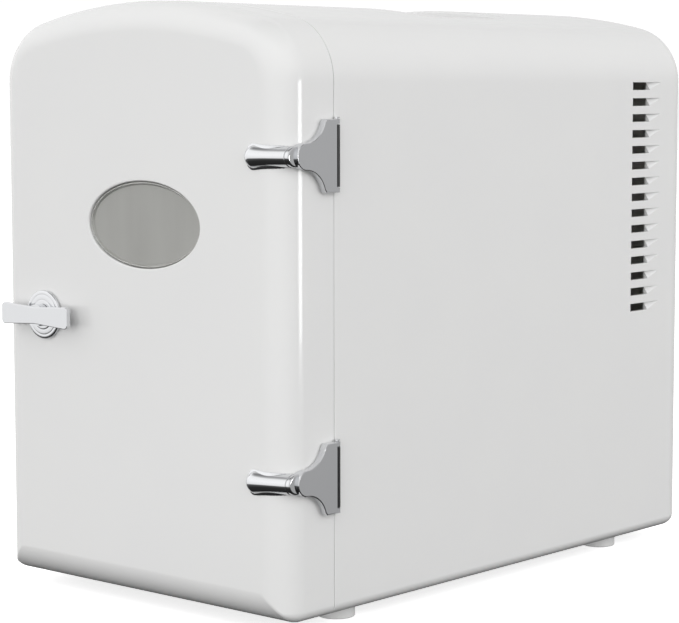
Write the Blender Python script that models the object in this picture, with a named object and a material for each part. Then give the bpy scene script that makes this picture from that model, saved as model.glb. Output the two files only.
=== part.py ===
"""Mini fridge: a small thermoelectric cooler with an arched top, a side-hung door and a chrome latch.

All lengths are metres.  Shapes are drawn in body coordinates: x from the middle of the body, with the
hinges at +X, y from the face of the door towards the back, and z from the underside of the body.  The
empty "frame" then carries everything so that the origin is under the middle of the whole object.
"""

import math

import bmesh
import bpy

for leftover in list(bpy.data.objects):
    bpy.data.objects.remove(leftover, do_unlink=True)

# Clearances
GAP = 0.0003
SEAM = 0.0006
PIN_GAP = 0.0003

# Body, as it measures outside
WIDTH = 0.178
DEPTH = 0.305
HEIGHT = 0.2625
CORNER_RADIUS = 0.0281
CROWN_RADIUS = 0.290
EDGE_RADIUS = 0.005
FRONT_ROUND = 0.0135
REAR_ROUND = 0.0135
SHELL_WALL = 0.0025
RIM_INSET = 0.016

# Cold compartment
SIDE_WALL = 0.021
FLOOR_WALL = 0.022
CEILING_WALL = 0.0405
MACHINE_DEPTH = 0.100
REAR_INSULATION = 0.020
LINER_WALL = 0.002
LINER_FLANGE = 0.003
CAVITY_RADIUS = 0.006
LEDGE_DEPTH = 0.002
LEDGE_HEIGHT = 0.0027

# Door
DOOR_DEPTH = 0.0318
INNER_PLATE = 0.003
PLUG_CLEARANCE = 0.004
PLUG_REACH = 0.0122
PLUG_WALL = 0.002
PLUG_RADIUS = 0.005
GASKET_WIDTH = 0.005
GASKET_INSET = 0.001
GASKET_HEIGHT = 0.002
GASKET_DEPTH_IN_PLATE = 0.002

# Window, an ellipse in the door
WINDOW_X = 0.00646
WINDOW_BELOW_TOP = 0.097
WINDOW_HALF_WIDTH = 0.03455
WINDOW_HALF_HEIGHT = 0.01903
WINDOW_RECESS = 0.001
WINDOW_LIP = 0.0025
WINDOW_LIP_THICK = 0.0015
SLEEVE_WALL = 0.002

# Hinges
HINGE_UPPER_BELOW_TOP = 0.0661
HINGE_LOWER_UP = 0.0603
HINGE_BEHIND_DOOR = 0.0002
PIN_RADIUS = 0.0006
PIN_HEAD_RADIUS = 0.0011
PIN_HEAD_HEIGHT = 0.0006
KNUCKLE_RADIUS = 0.0013
LEAF_THICK = 0.0008
LEAF_LENGTH = 0.0135
LEAF_NOTCH_DEPTH = 0.0015
LEAF_SCREW_IN = 0.0085
LEAF_SCREW_LENGTH = 0.0075
LEAF_SCREW_HEAD = 0.0019
LEAF_SCREW_RADIUS = 0.0010
BRACKET_PROUD = 0.0034
BRACKET_HALF = 0.0153
BRACKET_EAR = 0.0020
BRACKET_NOSE = 0.0056
BRACKET_FRONT = 0.0057
BRACKET_SWEEP = 0.0120
BRACKET_TIP_FLAT = 0.0010
BRACKET_SCREW_TIP = 0.0026
BRACKET_BORE_END = 0.0030
BAR_INBOARD = 0.0065
BAR_END_LENGTH = 0.0045
BAR_PROUD = 0.0042
BAR_SUNK = 0.0015
BAR_DEPTH = 0.0050
BAR_HALF = 0.0050
BAR_WAIST_HALF = 0.00435
BAR_RIM = 0.0007
BAR_RIM_THICK = 0.0012

# Latch
LATCH_FROM_SIDE = 0.0315
LATCH_UP = 0.1223
ESCUTCHEON_RADIUS = 0.011
ESCUTCHEON_HEIGHT = 0.0025
HANDLE_LENGTH = 0.0447
HANDLE_END = 0.0099
HANDLE_WAIST = 0.0075
HANDLE_FRONT = 0.0075
HANDLE_HUB_RADIUS = 0.005
HANDLE_CORNER = 0.002
SPINDLE_SOCKET_SKIN = 0.0015
SPINDLE_RADIUS = 0.002
CAM_REACH = 0.0155
CAM_HALF_WIDTH = 0.0025
CAM_THICK = 0.0025
CAM_OFF_PLUG = 0.001
NUT_RADIUS = 0.004
NUT_THICK = 0.0025
KEEPER_THICK = 0.0012
KEEPER_MARGIN = 0.003
CAM_CLEARANCE = 0.0020

# Carrying handle and its recess in the top
RECESS_SIDE = 0.035
RECESS_BEHIND_MIDDLE = 0.016
RECESS_LENGTH = 0.063
RECESS_FLOOR_BELOW_TOP = 0.0165
RECESS_RADIUS = 0.008
RECESS_WALL = 0.002
BAIL_CLEARANCE = 0.002
BAIL_WIDTH = 0.005
BAIL_GRIP = 0.009
BAIL_THICK = 0.006
BAIL_ROUND = 0.0012
BAIL_FRONT_GAP = 0.006
BAIL_PIVOT_FROM_BACK = 0.008
BAIL_PIVOT_UP = 0.006
BAIL_TAIL = 0.004
BAIL_PIN_RADIUS = 0.002

# Side vents
VENT_COUNT = 15
VENT_HEIGHT = 0.0038
VENT_PITCH = 0.00784
VENT_BELOW_TOP = 0.0354
VENT_FROM_REAR = 0.0253
VENT_LENGTH = 0.025
VENT_RAMP = 0.0127

# Feet
FOOT_FROM_SIDE = 0.0167
FOOT_FROM_END = 0.05195
FOOT_HEIGHT = 0.00607
FOOT_RADIUS = 0.00824
FOOT_ROUND = 0.0006
FOOT_BORE = 0.0034
FOOT_BORE_DEPTH = 0.0030
FOOT_SCREW_HEAD = 0.0030
FOOT_SCREW_HEAD_THICK = 0.0019
SCREW_RADIUS = 0.0014
FOOT_BOSS_RADIUS = 0.004
FOOT_BOSS_HEIGHT = 0.003

# Shelf
SHELF_UP = 0.124
SHELF_THICK = 0.003
SHELF_FRONT_GAP = 0.004
SHELF_SLOTS = 9
SHELF_SLOT_WIDTH = 0.006
SHELF_BORDER = 0.010
SHELF_CORNER = 0.003

# Cooling unit, from the cavity to the back
COOL_ABOVE_MIDDLE = 0.020
GRILLE_FROM_SIDE = 0.014
GRILLE_HALF_HEIGHT = 0.030
GRILLE_DEPTH = 0.0267
GRILLE_WALL = 0.002
GRILLE_CORNER = 0.004
GRILLE_SLOTS = 7
GRILLE_SLOT = 0.0035
GRILLE_PITCH = 0.007
INNER_FAN_HALF = 0.025
INNER_FAN_THICK = 0.010
SINK_BASE = 0.0045
COLD_SINK_HALF = 0.025
COLD_SINK_FINS = 9
COLD_FIN_HEIGHT = 0.009
COLD_BLOCK_HALF = 0.020
COLD_BLOCK_ROOM = 0.0005
PELTIER_THICK = 0.0038
HOT_SINK_HALF = 0.040
HOT_SINK_FINS = 13
HOT_FIN_HEIGHT = 0.028
FIN_THICK = 0.0014
REAR_FAN_HALF = 0.040
REAR_FAN_THICK = 0.020
FAN_RING = 0.0025
FAN_TIP_GAP = 0.0012
FAN_STRUT = 0.003
FAN_BACK = 0.0015

# Rear cover and what is in it
COVER_RECESS = 0.0015
COVER_THICK = 0.002
COVER_SCREW_FROM_SIDE = 0.0225
COVER_SCREW_UP = 0.040
COVER_SCREW_BELOW_TOP = 0.050
COVER_SCREW_HEAD = 0.0026
COVER_SCREW_HEAD_THICK = 0.001
COVER_SCREW_LENGTH = 0.008
BOSS_HALF = 0.0045
BOSS_LENGTH = 0.010
BOSS_INSET = 0.0048
OUTLET_RADIUS = 0.042
OUTLET_SLOTS = 9
OUTLET_SLOT = 0.0038
OUTLET_PITCH = 0.0078
SOCKET_UP = 0.048
AC_X = -0.030
AC_HALF_WIDTH = 0.0110
AC_HALF_HEIGHT = 0.0075
AC_PIN_OFFSET = 0.0043
AC_PIN_RADIUS = 0.0012
AC_DEPTH = 0.018
AC_WALL = 0.002
AC_CUP_RADIUS = 0.005
AC_CUP_DEPTH = 0.012
DC_X = 0.0
DC_RADIUS = 0.0045
DC_BORE = 0.0029
DC_PIN_RADIUS = 0.0009
DC_BORE_DEPTH = 0.009
DC_BODY_DEPTH = 0.014
SWITCH_X = 0.030
SWITCH_HALF_WIDTH = 0.0095
SWITCH_HALF_HEIGHT = 0.0045
SWITCH_SLOT_HALF = 0.0070
SWITCH_SLOT_HEIGHT = 0.0022
SWITCH_KNOB_HALF = 0.0032
SWITCH_DEPTH = 0.010
SWITCH_SLOT_DEPTH = 0.005
SWITCH_KNOB_ROUND = 0.0003
LED_X = 0.049
LED_RADIUS = 0.0013
LED_LENGTH = 0.006
SOCKET_FLANGE = 0.002
SOCKET_FLANGE_THICK = 0.001

# Circuit boards on the floor of the machine compartment
BOARD_FROM_INSULATION = 0.011
BOARD_LENGTH = 0.048
BOARD_STAND = 0.005
BOARD_THICK = 0.0016
BOARD_FROM_SIDE = 0.027
BOARD_WIDTH = 0.042
STAND_RADIUS = 0.0025
STAND_INSET = 0.004
CAPACITORS = ((0.012, 0.014, 0.005, 0.014), (0.026, 0.014, 0.004, 0.011))
CHIPS = ((0.008, 0.026, 0.014, 0.004), (0.028, 0.026, 0.010, 0.009))
SUPPLY_FROM_SIDE = 0.027
SUPPLY_WIDTH = 0.046
SUPPLY_HEIGHT = 0.027
SUPPLY_ROUND = 0.0015

# Steps along curved outlines
CROWN_STEPS = 6
CORNER_STEPS = 7
EDGE_STEPS = 2
BEND_STEPS = 4
ROUND_STEPS = 16
SMALL_STEPS = 8
WINDOW_STEPS = 32

# Places that follow from the sizes above
HALF = WIDTH / 2
INSIDE = SHELL_WALL + GAP
CABINET_FRONT = DOOR_DEPTH + SEAM
CAVITY_HALF = HALF - SIDE_WALL
CAVITY_FLOOR = FLOOR_WALL
CAVITY_CEILING = HEIGHT - CEILING_WALL
CAVITY_BACK = DEPTH - MACHINE_DEPTH
INSULATION_FRONT = CABINET_FRONT + LINER_FLANGE + GAP
INSULATION_BACK = CAVITY_BACK + REAR_INSULATION
PLATE_FRONT = DOOR_DEPTH - INNER_PLATE
PLUG_HALF = CAVITY_HALF - PLUG_CLEARANCE
PLUG_FLOOR = CAVITY_FLOOR + PLUG_CLEARANCE
PLUG_CEILING = CAVITY_CEILING - PLUG_CLEARANCE
PLUG_BACK = DOOR_DEPTH + PLUG_REACH
WINDOW_Z = HEIGHT - WINDOW_BELOW_TOP
HINGE_OUT = KNUCKLE_RADIUS + GAP
HINGE_X = HALF + HINGE_OUT
HINGE_Y = DOOR_DEPTH + HINGE_BEHIND_DOOR
KNUCKLE_HALF = BRACKET_HALF - BRACKET_EAR - GAP
BRACKET_REAR = HINGE_Y - KNUCKLE_RADIUS - GAP
BAR_START = HALF - FRONT_ROUND - BAR_INBOARD
HINGE_HEIGHTS = {"upper": HEIGHT - HINGE_UPPER_BELOW_TOP, "lower": HINGE_LOWER_UP}
BRACKET_SCREW_X = BAR_START + BAR_END_LENGTH
LATCH_X = LATCH_FROM_SIDE - HALF
CAM_FRONT = PLUG_BACK + CAM_OFF_PLUG
CAM_BACK = CAM_FRONT + CAM_THICK
SHELF_Z = CAVITY_FLOOR + SHELF_UP
GRILLE_FRONT = CAVITY_BACK - GRILLE_DEPTH
GRILLE_HALF_WIDTH = CAVITY_HALF - GRILLE_FROM_SIDE
SHELF_FRONT = PLUG_BACK + SHELF_FRONT_GAP
SHELF_BACK = GRILLE_FRONT - SHELF_FRONT_GAP
COOL_Z = (CAVITY_FLOOR + CAVITY_CEILING) / 2 + COOL_ABOVE_MIDDLE
RECESS_HALF = HALF - RECESS_SIDE
RECESS_FRONT = DEPTH / 2 + RECESS_BEHIND_MIDDLE - RECESS_LENGTH / 2
RECESS_BACK = RECESS_FRONT + RECESS_LENGTH
RECESS_FLOOR = HEIGHT - RECESS_FLOOR_BELOW_TOP
BAIL_HALF = RECESS_HALF - BAIL_CLEARANCE
BAIL_PIVOT = (0.0, RECESS_BACK - BAIL_PIVOT_FROM_BACK, RECESS_FLOOR + BAIL_PIVOT_UP)
COVER_BACK = DEPTH - COVER_RECESS
COVER_FRONT = COVER_BACK - COVER_THICK
REAR_FAN_BACK = COVER_FRONT - 2 * GAP
FOOT_PLACES = {
    "front_left": (FOOT_FROM_SIDE - HALF, FOOT_FROM_END),
    "front_right": (HALF - FOOT_FROM_SIDE, FOOT_FROM_END),
    "rear_left": (FOOT_FROM_SIDE - HALF, DEPTH - FOOT_FROM_END),
    "rear_right": (HALF - FOOT_FROM_SIDE, DEPTH - FOOT_FROM_END),
}
COVER_SCREW_PLACES = {
    "upper_left": (COVER_SCREW_FROM_SIDE - HALF, HEIGHT - COVER_SCREW_BELOW_TOP),
    "upper_right": (HALF - COVER_SCREW_FROM_SIDE, HEIGHT - COVER_SCREW_BELOW_TOP),
    "lower_left": (COVER_SCREW_FROM_SIDE - HALF, COVER_SCREW_UP),
    "lower_right": (HALF - COVER_SCREW_FROM_SIDE, COVER_SCREW_UP),
}
FRAME_PLACE = (-BRACKET_PROUD / 2, -(DEPTH - HANDLE_FRONT) / 2, FOOT_HEIGHT)

# Finishes: base colour, roughness, metallic
WHITE_ABS = ((0.76, 0.76, 0.75), 0.22, 0.0)
LINER_WHITE = ((0.70, 0.71, 0.71), 0.35, 0.0)
CHROME = ((0.72, 0.72, 0.73), 0.08, 1.0)
STEEL = ((0.50, 0.50, 0.50), 0.35, 1.0)
BLACK_STEEL = ((0.02, 0.02, 0.02), 0.40, 0.0)
ALUMINIUM = ((0.62, 0.63, 0.64), 0.40, 1.0)
FOAM = ((0.72, 0.66, 0.48), 0.90, 0.0)
RUBBER = ((0.45, 0.45, 0.45), 0.70, 0.0)
CLEAR_PLASTIC = ((0.62, 0.63, 0.61), 0.12, 0.0)
BLACK_PLASTIC = ((0.03, 0.03, 0.03), 0.45, 0.0)
CERAMIC = ((0.85, 0.85, 0.82), 0.60, 0.0)
BOARD_GREEN = ((0.03, 0.16, 0.07), 0.50, 0.0)
LED_GREEN = ((0.10, 0.55, 0.12), 0.20, 0.0)


# Outlines


def arc(centre, radius, start, end, steps):
    """Points on a circle from one angle to another, in degrees."""
    angles = [math.radians(start + (end - start) * i / steps) for i in range(steps + 1)]
    return [(centre[0] + radius * math.cos(a), centre[1] + radius * math.sin(a)) for a in angles]


def body_outline(inset):
    """The arched outline of the body seen from the front, moved inwards by inset."""
    corner_x = HALF - CORNER_RADIUS
    crown_z = HEIGHT - CROWN_RADIUS
    corner_z = crown_z + math.sqrt((CROWN_RADIUS - CORNER_RADIUS) ** 2 - corner_x**2)
    meeting = math.degrees(math.atan2(corner_z - crown_z, corner_x))
    edge = max(EDGE_RADIUS - inset, EDGE_RADIUS / 5)
    half = arc((HALF - inset - edge, inset + edge), edge, -90, 0, EDGE_STEPS)
    half += arc((corner_x, corner_z), CORNER_RADIUS - inset, 0, meeting, CORNER_STEPS)
    half += arc((0, crown_z), CROWN_RADIUS - inset, meeting, 90, CROWN_STEPS)[1:]
    return half + [(-x, z) for x, z in reversed(half[:-1])]


def crown_outline(half_length, inset):
    """The arched top above a half length, from right to left."""
    radius = CROWN_RADIUS - inset
    spread = math.degrees(math.asin(half_length / radius))
    return arc((0, HEIGHT - CROWN_RADIUS), radius, 90 - spread, 90 + spread, 2 * CROWN_STEPS)


def rounded(low_a, high_a, low_b, high_b, radius, steps=3):
    """A rectangle with round corners."""
    corners = (
        (high_a - radius, low_b + radius, -90),
        (high_a - radius, high_b - radius, 0),
        (low_a + radius, high_b - radius, 90),
        (low_a + radius, low_b + radius, 180),
    )
    return [p for a, b, start in corners for p in arc((a, b), radius, start, start + 90, steps)]


def rectangle(low_a, high_a, low_b, high_b):
    """A rectangle."""
    return [(low_a, low_b), (high_a, low_b), (high_a, high_b), (low_a, high_b)]


def ellipse(centre, half_a, half_b, steps):
    """An ellipse."""
    turns = [2 * math.pi * i / steps for i in range(steps)]
    return [(centre[0] + half_a * math.cos(t), centre[1] + half_b * math.sin(t)) for t in turns]


def circle(centre, radius, steps=ROUND_STEPS):
    """A circle."""
    return ellipse(centre, radius, radius, steps)


def comb(half, fins, base_start, base_end, tip):
    """A finned outline in x and y: a base plate with fins that run from it to tip."""
    pitch = (2 * half - FIN_THICK) / (fins - 1)
    points = [(half, base_end), (-half, base_end)]
    for i in range(fins):
        left = -half + i * pitch
        points += [(left, base_start), (left, tip), (left + FIN_THICK, tip), (left + FIN_THICK, base_start)]
    return points[:2] + points[3:-1]


# Solids


def place(point, axis, along):
    """A point of an outline that stands across an axis, in three dimensions."""
    a, b = point
    return {"X": (along, a, b), "Y": (a, along, b), "Z": (a, b, along)}[axis]


def loft(rings, closed=False):
    """A mesh through rings of points, capped at its ends, or closed on itself like a tube's wall."""
    mesh = bmesh.new()
    rows = [[mesh.verts.new(point) for point in ring] for ring in rings]
    pairs = list(zip(rows, rows[1:])) + ([(rows[-1], rows[0])] if closed else [])
    for first, second in pairs:
        for i, here in enumerate(first):
            j = (i + 1) % len(first)
            mesh.faces.new((here, first[j], second[j], second[i]))
    if not closed:
        mesh.faces.new(rows[0])
        mesh.faces.new(rows[-1])
    bmesh.ops.recalc_face_normals(mesh, faces=mesh.faces)
    return mesh


def prism(outline, axis, start, end):
    """An outline drawn out along an axis."""
    return loft([[place(p, axis, at) for p in outline] for at in (start, end)])


def tube(outer, inner, axis, start, end):
    """The wall between two outlines with as many points each."""
    rows = ((outer, start), (outer, end), (inner, end), (inner, start))
    return loft([[place(p, axis, at) for p in ring] for ring, at in rows], closed=True)


def box(x, y, z):
    """A box, from its lowest and highest x, y and z."""
    return prism(rectangle(*x, *z), "Y", *y)


def rod(axis, centre, radius, start, end, steps=ROUND_STEPS):
    """A round rod."""
    return prism(circle(centre, radius, steps), axis, start, end)


def turned(axis, centre, profile, hollow=False, steps=ROUND_STEPS):
    """A turned solid: profile lists (radius, place along the axis)."""
    rings = [[place(p, axis, along) for p in circle(centre, radius, steps)] for radius, along in profile]
    return loft(rings, hollow)


def body_loft(sections, closed=False):
    """A solid through body outlines: sections lists (y, inset)."""
    return loft([[(x, y, z) for x, z in body_outline(inset)] for y, inset in sections], closed)


def stack(axis, levels):
    """A solid through outlines: levels lists (outline, place along the axis)."""
    return loft([[place(p, axis, at) for p in outline] for outline, at in levels])


def bend(centre_y, direction, radius, inset_centre):
    """Sections round the front or rear edge, from the flat face out to the side wall."""
    angles = [math.pi / 2 * (1 - i / BEND_STEPS) for i in range(BEND_STEPS + 1)]
    return [
        (centre_y + direction * radius * math.sin(a), inset_centre - radius * math.cos(a)) for a in angles
    ]


def front_form(offset):
    """Sections of the door's outer form, moved inwards by offset, from its face to its side wall."""
    return bend(FRONT_ROUND, -1, FRONT_ROUND - offset, FRONT_ROUND)


def rear_form(offset):
    """Sections of the cabinet's outer form at the back, moved inwards by offset."""
    return bend(DEPTH - REAR_ROUND, 1, REAR_ROUND - offset, REAR_ROUND)


def together(*shapes):
    """Shapes that stay clear of each other, as one mesh."""
    result = bmesh.new()
    for shape in shapes:
        copy = {vert: result.verts.new(vert.co) for vert in shape.verts}
        for face in shape.faces:
            result.faces.new([copy[vert] for vert in face.verts])
        shape.free()
    return result


# Objects

BODY_PLACES = {}


def empty(name, at, parent=None):
    """An empty that carries one moving group, standing on the joint's axis."""
    holder = bpy.data.objects.new(name, None)
    bpy.context.scene.collection.objects.link(holder)
    BODY_PLACES[name] = at
    base = BODY_PLACES[parent.name] if parent else (0, 0, 0)
    holder.parent = parent
    holder.location = [a - b for a, b in zip(at, base)]
    return holder


def mesh_object(name, shape, holder):
    """An object with this shape, drawn in body coordinates and carried by a holder."""
    bmesh.ops.translate(shape, verts=shape.verts, vec=[-a for a in BODY_PLACES[holder.name]])
    data = bpy.data.meshes.new(name)
    shape.to_mesh(data)
    shape.free()
    data.shade_smooth()
    data.set_sharp_from_angle(angle=math.radians(32))
    made = bpy.data.objects.new(name, data)
    bpy.context.scene.collection.objects.link(made)
    made.parent = holder
    return made


def paint(made, finish):
    """Gives an object its own material."""
    colour, roughness, metallic = finish
    material = bpy.data.materials.new(made.name)
    material.use_nodes = True
    shader = material.node_tree.nodes["Principled BSDF"]
    shader.inputs["Base Color"].default_value = (*colour, 1.0)
    shader.inputs["Roughness"].default_value = roughness
    shader.inputs["Metallic"].default_value = metallic
    made.data.materials.append(material)


def piece(name, shape, finish, holder, steps=()):
    """One piece of the fridge.  steps lists ("UNION" or "DIFFERENCE", shape) in order."""
    made = mesh_object(name, shape, holder)
    paint(made, finish)
    for number, (operation, other) in enumerate(steps, 1):
        helper = mesh_object(f"{name}_{operation.lower()}_{number}", other, holder)
        helper.hide_render = True
        helper.display_type = "WIRE"
        step = made.modifiers.new(f"{operation.title()} {number}", "BOOLEAN")
        step.operation = operation
        step.object = helper
    return made


def screw(name, axis, centre, head, thread, finish, holder):
    """A screw: head is (radius, start, end), thread is (radius, end), both along the axis."""
    head_radius, start, under = head
    radius, tip = thread
    way = 1 if tip > start else -1
    profile = [
        (head_radius * 0.7, start),
        (head_radius, start + way * 0.3 * abs(under - start)),
        (head_radius, under),
        (radius, under),
        (radius, tip - way * radius),
        (radius * 0.4, tip),
    ]
    return piece(name, turned(axis, centre, profile, steps=SMALL_STEPS), finish, holder)


# Cabinet


def outer_shell(frame):
    """The white outer shell, with the carrying recess, vents, screw bosses and hinge notches."""
    outside = [(CABINET_FRONT, 0.0)] + rear_form(0.0)[::-1]
    rim = [(DEPTH, RIM_INSET), (DEPTH - SHELL_WALL, RIM_INSET)]
    inside = rear_form(SHELL_WALL) + [(CABINET_FRONT, SHELL_WALL)]
    tray_half = RECESS_HALF + RECESS_WALL
    tray_floor = RECESS_FLOOR - RECESS_WALL
    tray = [(-tray_half, tray_floor), (tray_half, tray_floor)] + crown_outline(tray_half, SHELL_WALL / 2)
    additions = [prism(tray, "Y", RECESS_FRONT - RECESS_WALL, RECESS_BACK + RECESS_WALL)]
    boss_back = COVER_FRONT - GAP
    for x, z in COVER_SCREW_PLACES.values():
        reach = sorted((math.copysign(HALF - BOSS_INSET, x), math.copysign(abs(x) - BOSS_HALF, x)))
        additions.append(box(reach, (boss_back - BOSS_LENGTH, boss_back), (z - BOSS_HALF, z + BOSS_HALF)))
    for x, y in FOOT_PLACES.values():
        top = SHELL_WALL + FOOT_BOSS_HEIGHT
        additions.append(rod("Z", (x, y), FOOT_BOSS_RADIUS, SHELL_WALL / 2, top, SMALL_STEPS))
    recess = prism(recess_outline(), "Z", RECESS_FLOOR, HEIGHT + RECESS_WALL)
    cuts = side_vents() + [box(*notch) for notch in hinge_notches()]
    for x, y in FOOT_PLACES.values():
        top = SHELL_WALL + 2 * FOOT_BOSS_HEIGHT
        cuts.append(rod("Z", (x, y), SCREW_RADIUS + PIN_GAP, -SHELL_WALL, top, SMALL_STEPS))
    for x, z in COVER_SCREW_PLACES.values():
        deep = COVER_BACK - COVER_SCREW_LENGTH
        cuts.append(rod("Y", (x, z), SCREW_RADIUS + PIN_GAP, deep, COVER_BACK, SMALL_STEPS))
    for side in (-1, 1):
        ends = sorted((side * (RECESS_HALF - RECESS_WALL), side * (tray_half + RECESS_WALL)))
        cuts.append(rod("X", BAIL_PIVOT[1:], BAIL_PIN_RADIUS + PIN_GAP, *ends, SMALL_STEPS))
    body = body_loft(outside + rim + inside, closed=True)
    steps = [("UNION", together(*additions)), ("DIFFERENCE", recess), ("DIFFERENCE", together(*cuts))]
    piece("outer_shell", body, WHITE_ABS, frame, steps)


def recess_outline():
    """The plan of the carrying recess."""
    return rounded(-RECESS_HALF, RECESS_HALF, RECESS_FRONT, RECESS_BACK, RECESS_RADIUS)


def side_vents():
    """Cutters for the vent slots: each goes through the wall and ramps out to its surface."""
    front = DEPTH - VENT_FROM_REAR - VENT_LENGTH
    back = DEPTH - VENT_FROM_REAR
    shapes = []
    for side in (-1, 1):
        outline = [
            (side * (HALF + SHELL_WALL), front),
            (side * (HALF - 2 * SHELL_WALL), front),
            (side * (HALF - 2 * SHELL_WALL), back - VENT_RAMP),
            (side * (HALF - SHELL_WALL), back - VENT_RAMP),
            (side * HALF, back),
            (side * (HALF + SHELL_WALL), back),
        ]
        for i in range(VENT_COUNT):
            top = HEIGHT - VENT_BELOW_TOP - i * VENT_PITCH
            shapes.append(prism(outline, "Z", top - VENT_HEIGHT, top))
    return shapes


def hinge_notches():
    """The notches in the cabinet's front edge that the hinge leaves lie in, as x, y and z ranges."""
    room = KNUCKLE_HALF + GAP
    for z in HINGE_HEIGHTS.values():
        yield (
            (HINGE_X - LEAF_LENGTH - HINGE_OUT, HALF + SHELL_WALL),
            (CABINET_FRONT - SEAM, CABINET_FRONT + LEAF_NOTCH_DEPTH),
            (z - room, z + room),
        )


def inner_liner(frame):
    """The white tub of the cold compartment, with the flange that closes the foam space."""
    flange = body_loft([(CABINET_FRONT, INSIDE), (CABINET_FRONT + LINER_FLANGE, INSIDE)])
    tub = prism(cavity_outline(LINER_WALL), "Y", CABINET_FRONT + LINER_FLANGE / 2, CAVITY_BACK + LINER_WALL)
    cavity = prism(cavity_outline(0.0), "Y", CABINET_FRONT - LINER_FLANGE, CAVITY_BACK)
    ledges = []
    for side in (-1, 1):
        x = sorted((side * (CAVITY_HALF - LEDGE_DEPTH), side * (CAVITY_HALF + LINER_WALL / 2)))
        z = (SHELF_Z - GAP - LEDGE_HEIGHT, SHELF_Z - GAP)
        ledges.append(box(x, (SHELF_FRONT, SHELF_BACK), z))
    cuts = [box(*notch) for notch in hinge_notches()]
    hole = LINER_WALL * 3
    cuts.append(keeper_slot((-CAVITY_HALF - hole, -CAVITY_HALF + hole), 2 * GAP))
    opening = block_outline(COLD_BLOCK_HALF + COLD_BLOCK_ROOM)
    cuts.append(prism(opening, "Y", CAVITY_BACK - hole, CAVITY_BACK + hole))
    depth = (CABINET_FRONT, INSULATION_FRONT + GAP)
    screw_holes = [
        rod("Y", (HINGE_X - LEAF_SCREW_IN, z), SCREW_RADIUS, *depth, SMALL_STEPS)
        for z in HINGE_HEIGHTS.values()
    ]
    steps = [
        ("UNION", tub),
        ("DIFFERENCE", cavity),
        ("UNION", together(*ledges)),
        ("DIFFERENCE", together(*cuts)),
        ("DIFFERENCE", together(*screw_holes)),
    ]
    piece("inner_liner", flange, LINER_WHITE, frame, steps)


def cavity_outline(margin):
    """The front outline of the cavity, widened by a margin."""
    return rounded(
        -CAVITY_HALF - margin,
        CAVITY_HALF + margin,
        CAVITY_FLOOR - margin,
        CAVITY_CEILING + margin,
        CAVITY_RADIUS + margin,
    )


def block_outline(half):
    """A square round the axis of the cooling unit."""
    return rectangle(-half, half, COOL_Z - half, COOL_Z + half)


def keeper_slot(x, margin):
    """The slot that the latch cam turns into, between two values of x."""
    room = CAM_CLEARANCE + margin
    y = (CAM_FRONT - room / 2, CAM_BACK + room / 2)
    return box(x, y, (LATCH_UP - CAM_HALF_WIDTH - room, LATCH_UP + CAM_REACH + room))


def keeper_box(x, margin):
    """The outline of the keeper plate between two values of x, widened by a margin."""
    room = KEEPER_MARGIN + CAM_CLEARANCE + margin
    y = (CAM_FRONT - room, CAM_BACK + room)
    return box(x, y, (LATCH_UP - CAM_HALF_WIDTH - room, LATCH_UP + CAM_REACH + room))


def cabinet_insulation(frame):
    """The foam between the liner and the outer shell."""
    block = body_loft([(INSULATION_FRONT, INSIDE), (INSULATION_BACK, INSIDE)])
    tub = prism(
        cavity_outline(LINER_WALL + GAP),
        "Y",
        INSULATION_FRONT - LINER_FLANGE,
        CAVITY_BACK + LINER_WALL + GAP,
    )
    cold_hole = block_outline(COLD_BLOCK_HALF + COLD_BLOCK_ROOM + GAP / 3)
    cold = prism(cold_hole, "Y", CAVITY_BACK, INSULATION_BACK + LINER_WALL)
    margin = RECESS_WALL + GAP
    tray_half = RECESS_HALF + margin
    tray = box(
        (-tray_half, tray_half),
        (RECESS_FRONT - margin, RECESS_BACK + margin),
        (RECESS_FLOOR - margin, HEIGHT + margin),
    )
    pockets = [tray]
    for x, y in FOOT_PLACES.values():
        top = SHELL_WALL + FOOT_BOSS_HEIGHT + GAP
        if y + FOOT_BOSS_RADIUS < INSULATION_BACK:
            pockets.append(rod("Z", (x, y), FOOT_BOSS_RADIUS + GAP, -top, top, SMALL_STEPS))
    for z in HINGE_HEIGHTS.values():
        deep = CABINET_FRONT + LEAF_SCREW_LENGTH + 2 * GAP
        place_across = (HINGE_X - LEAF_SCREW_IN, z)
        pockets.append(rod("Y", place_across, SCREW_RADIUS, CABINET_FRONT, deep, SMALL_STEPS))
    outside = -CAVITY_HALF - LINER_WALL
    reach = LATCH_X - CAM_REACH - CAM_CLEARANCE
    pockets.append(keeper_box((min(reach, outside - KEEPER_THICK - 2 * GAP), outside + GAP), GAP))
    steps = [("DIFFERENCE", tub), ("DIFFERENCE", cold), ("DIFFERENCE", together(*pockets))]
    piece("cabinet_insulation", block, FOAM, frame, steps)


def latch_keeper(frame):
    """The steel plate behind the liner's left wall that the cam locks behind."""
    front = -CAVITY_HALF - LINER_WALL - GAP
    plate = keeper_box((front - KEEPER_THICK, front), 0.0)
    slot = keeper_slot((front - 2 * KEEPER_THICK, front + KEEPER_THICK), 0.0)
    piece("latch_keeper", plate, STEEL, frame, [("DIFFERENCE", slot)])


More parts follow.
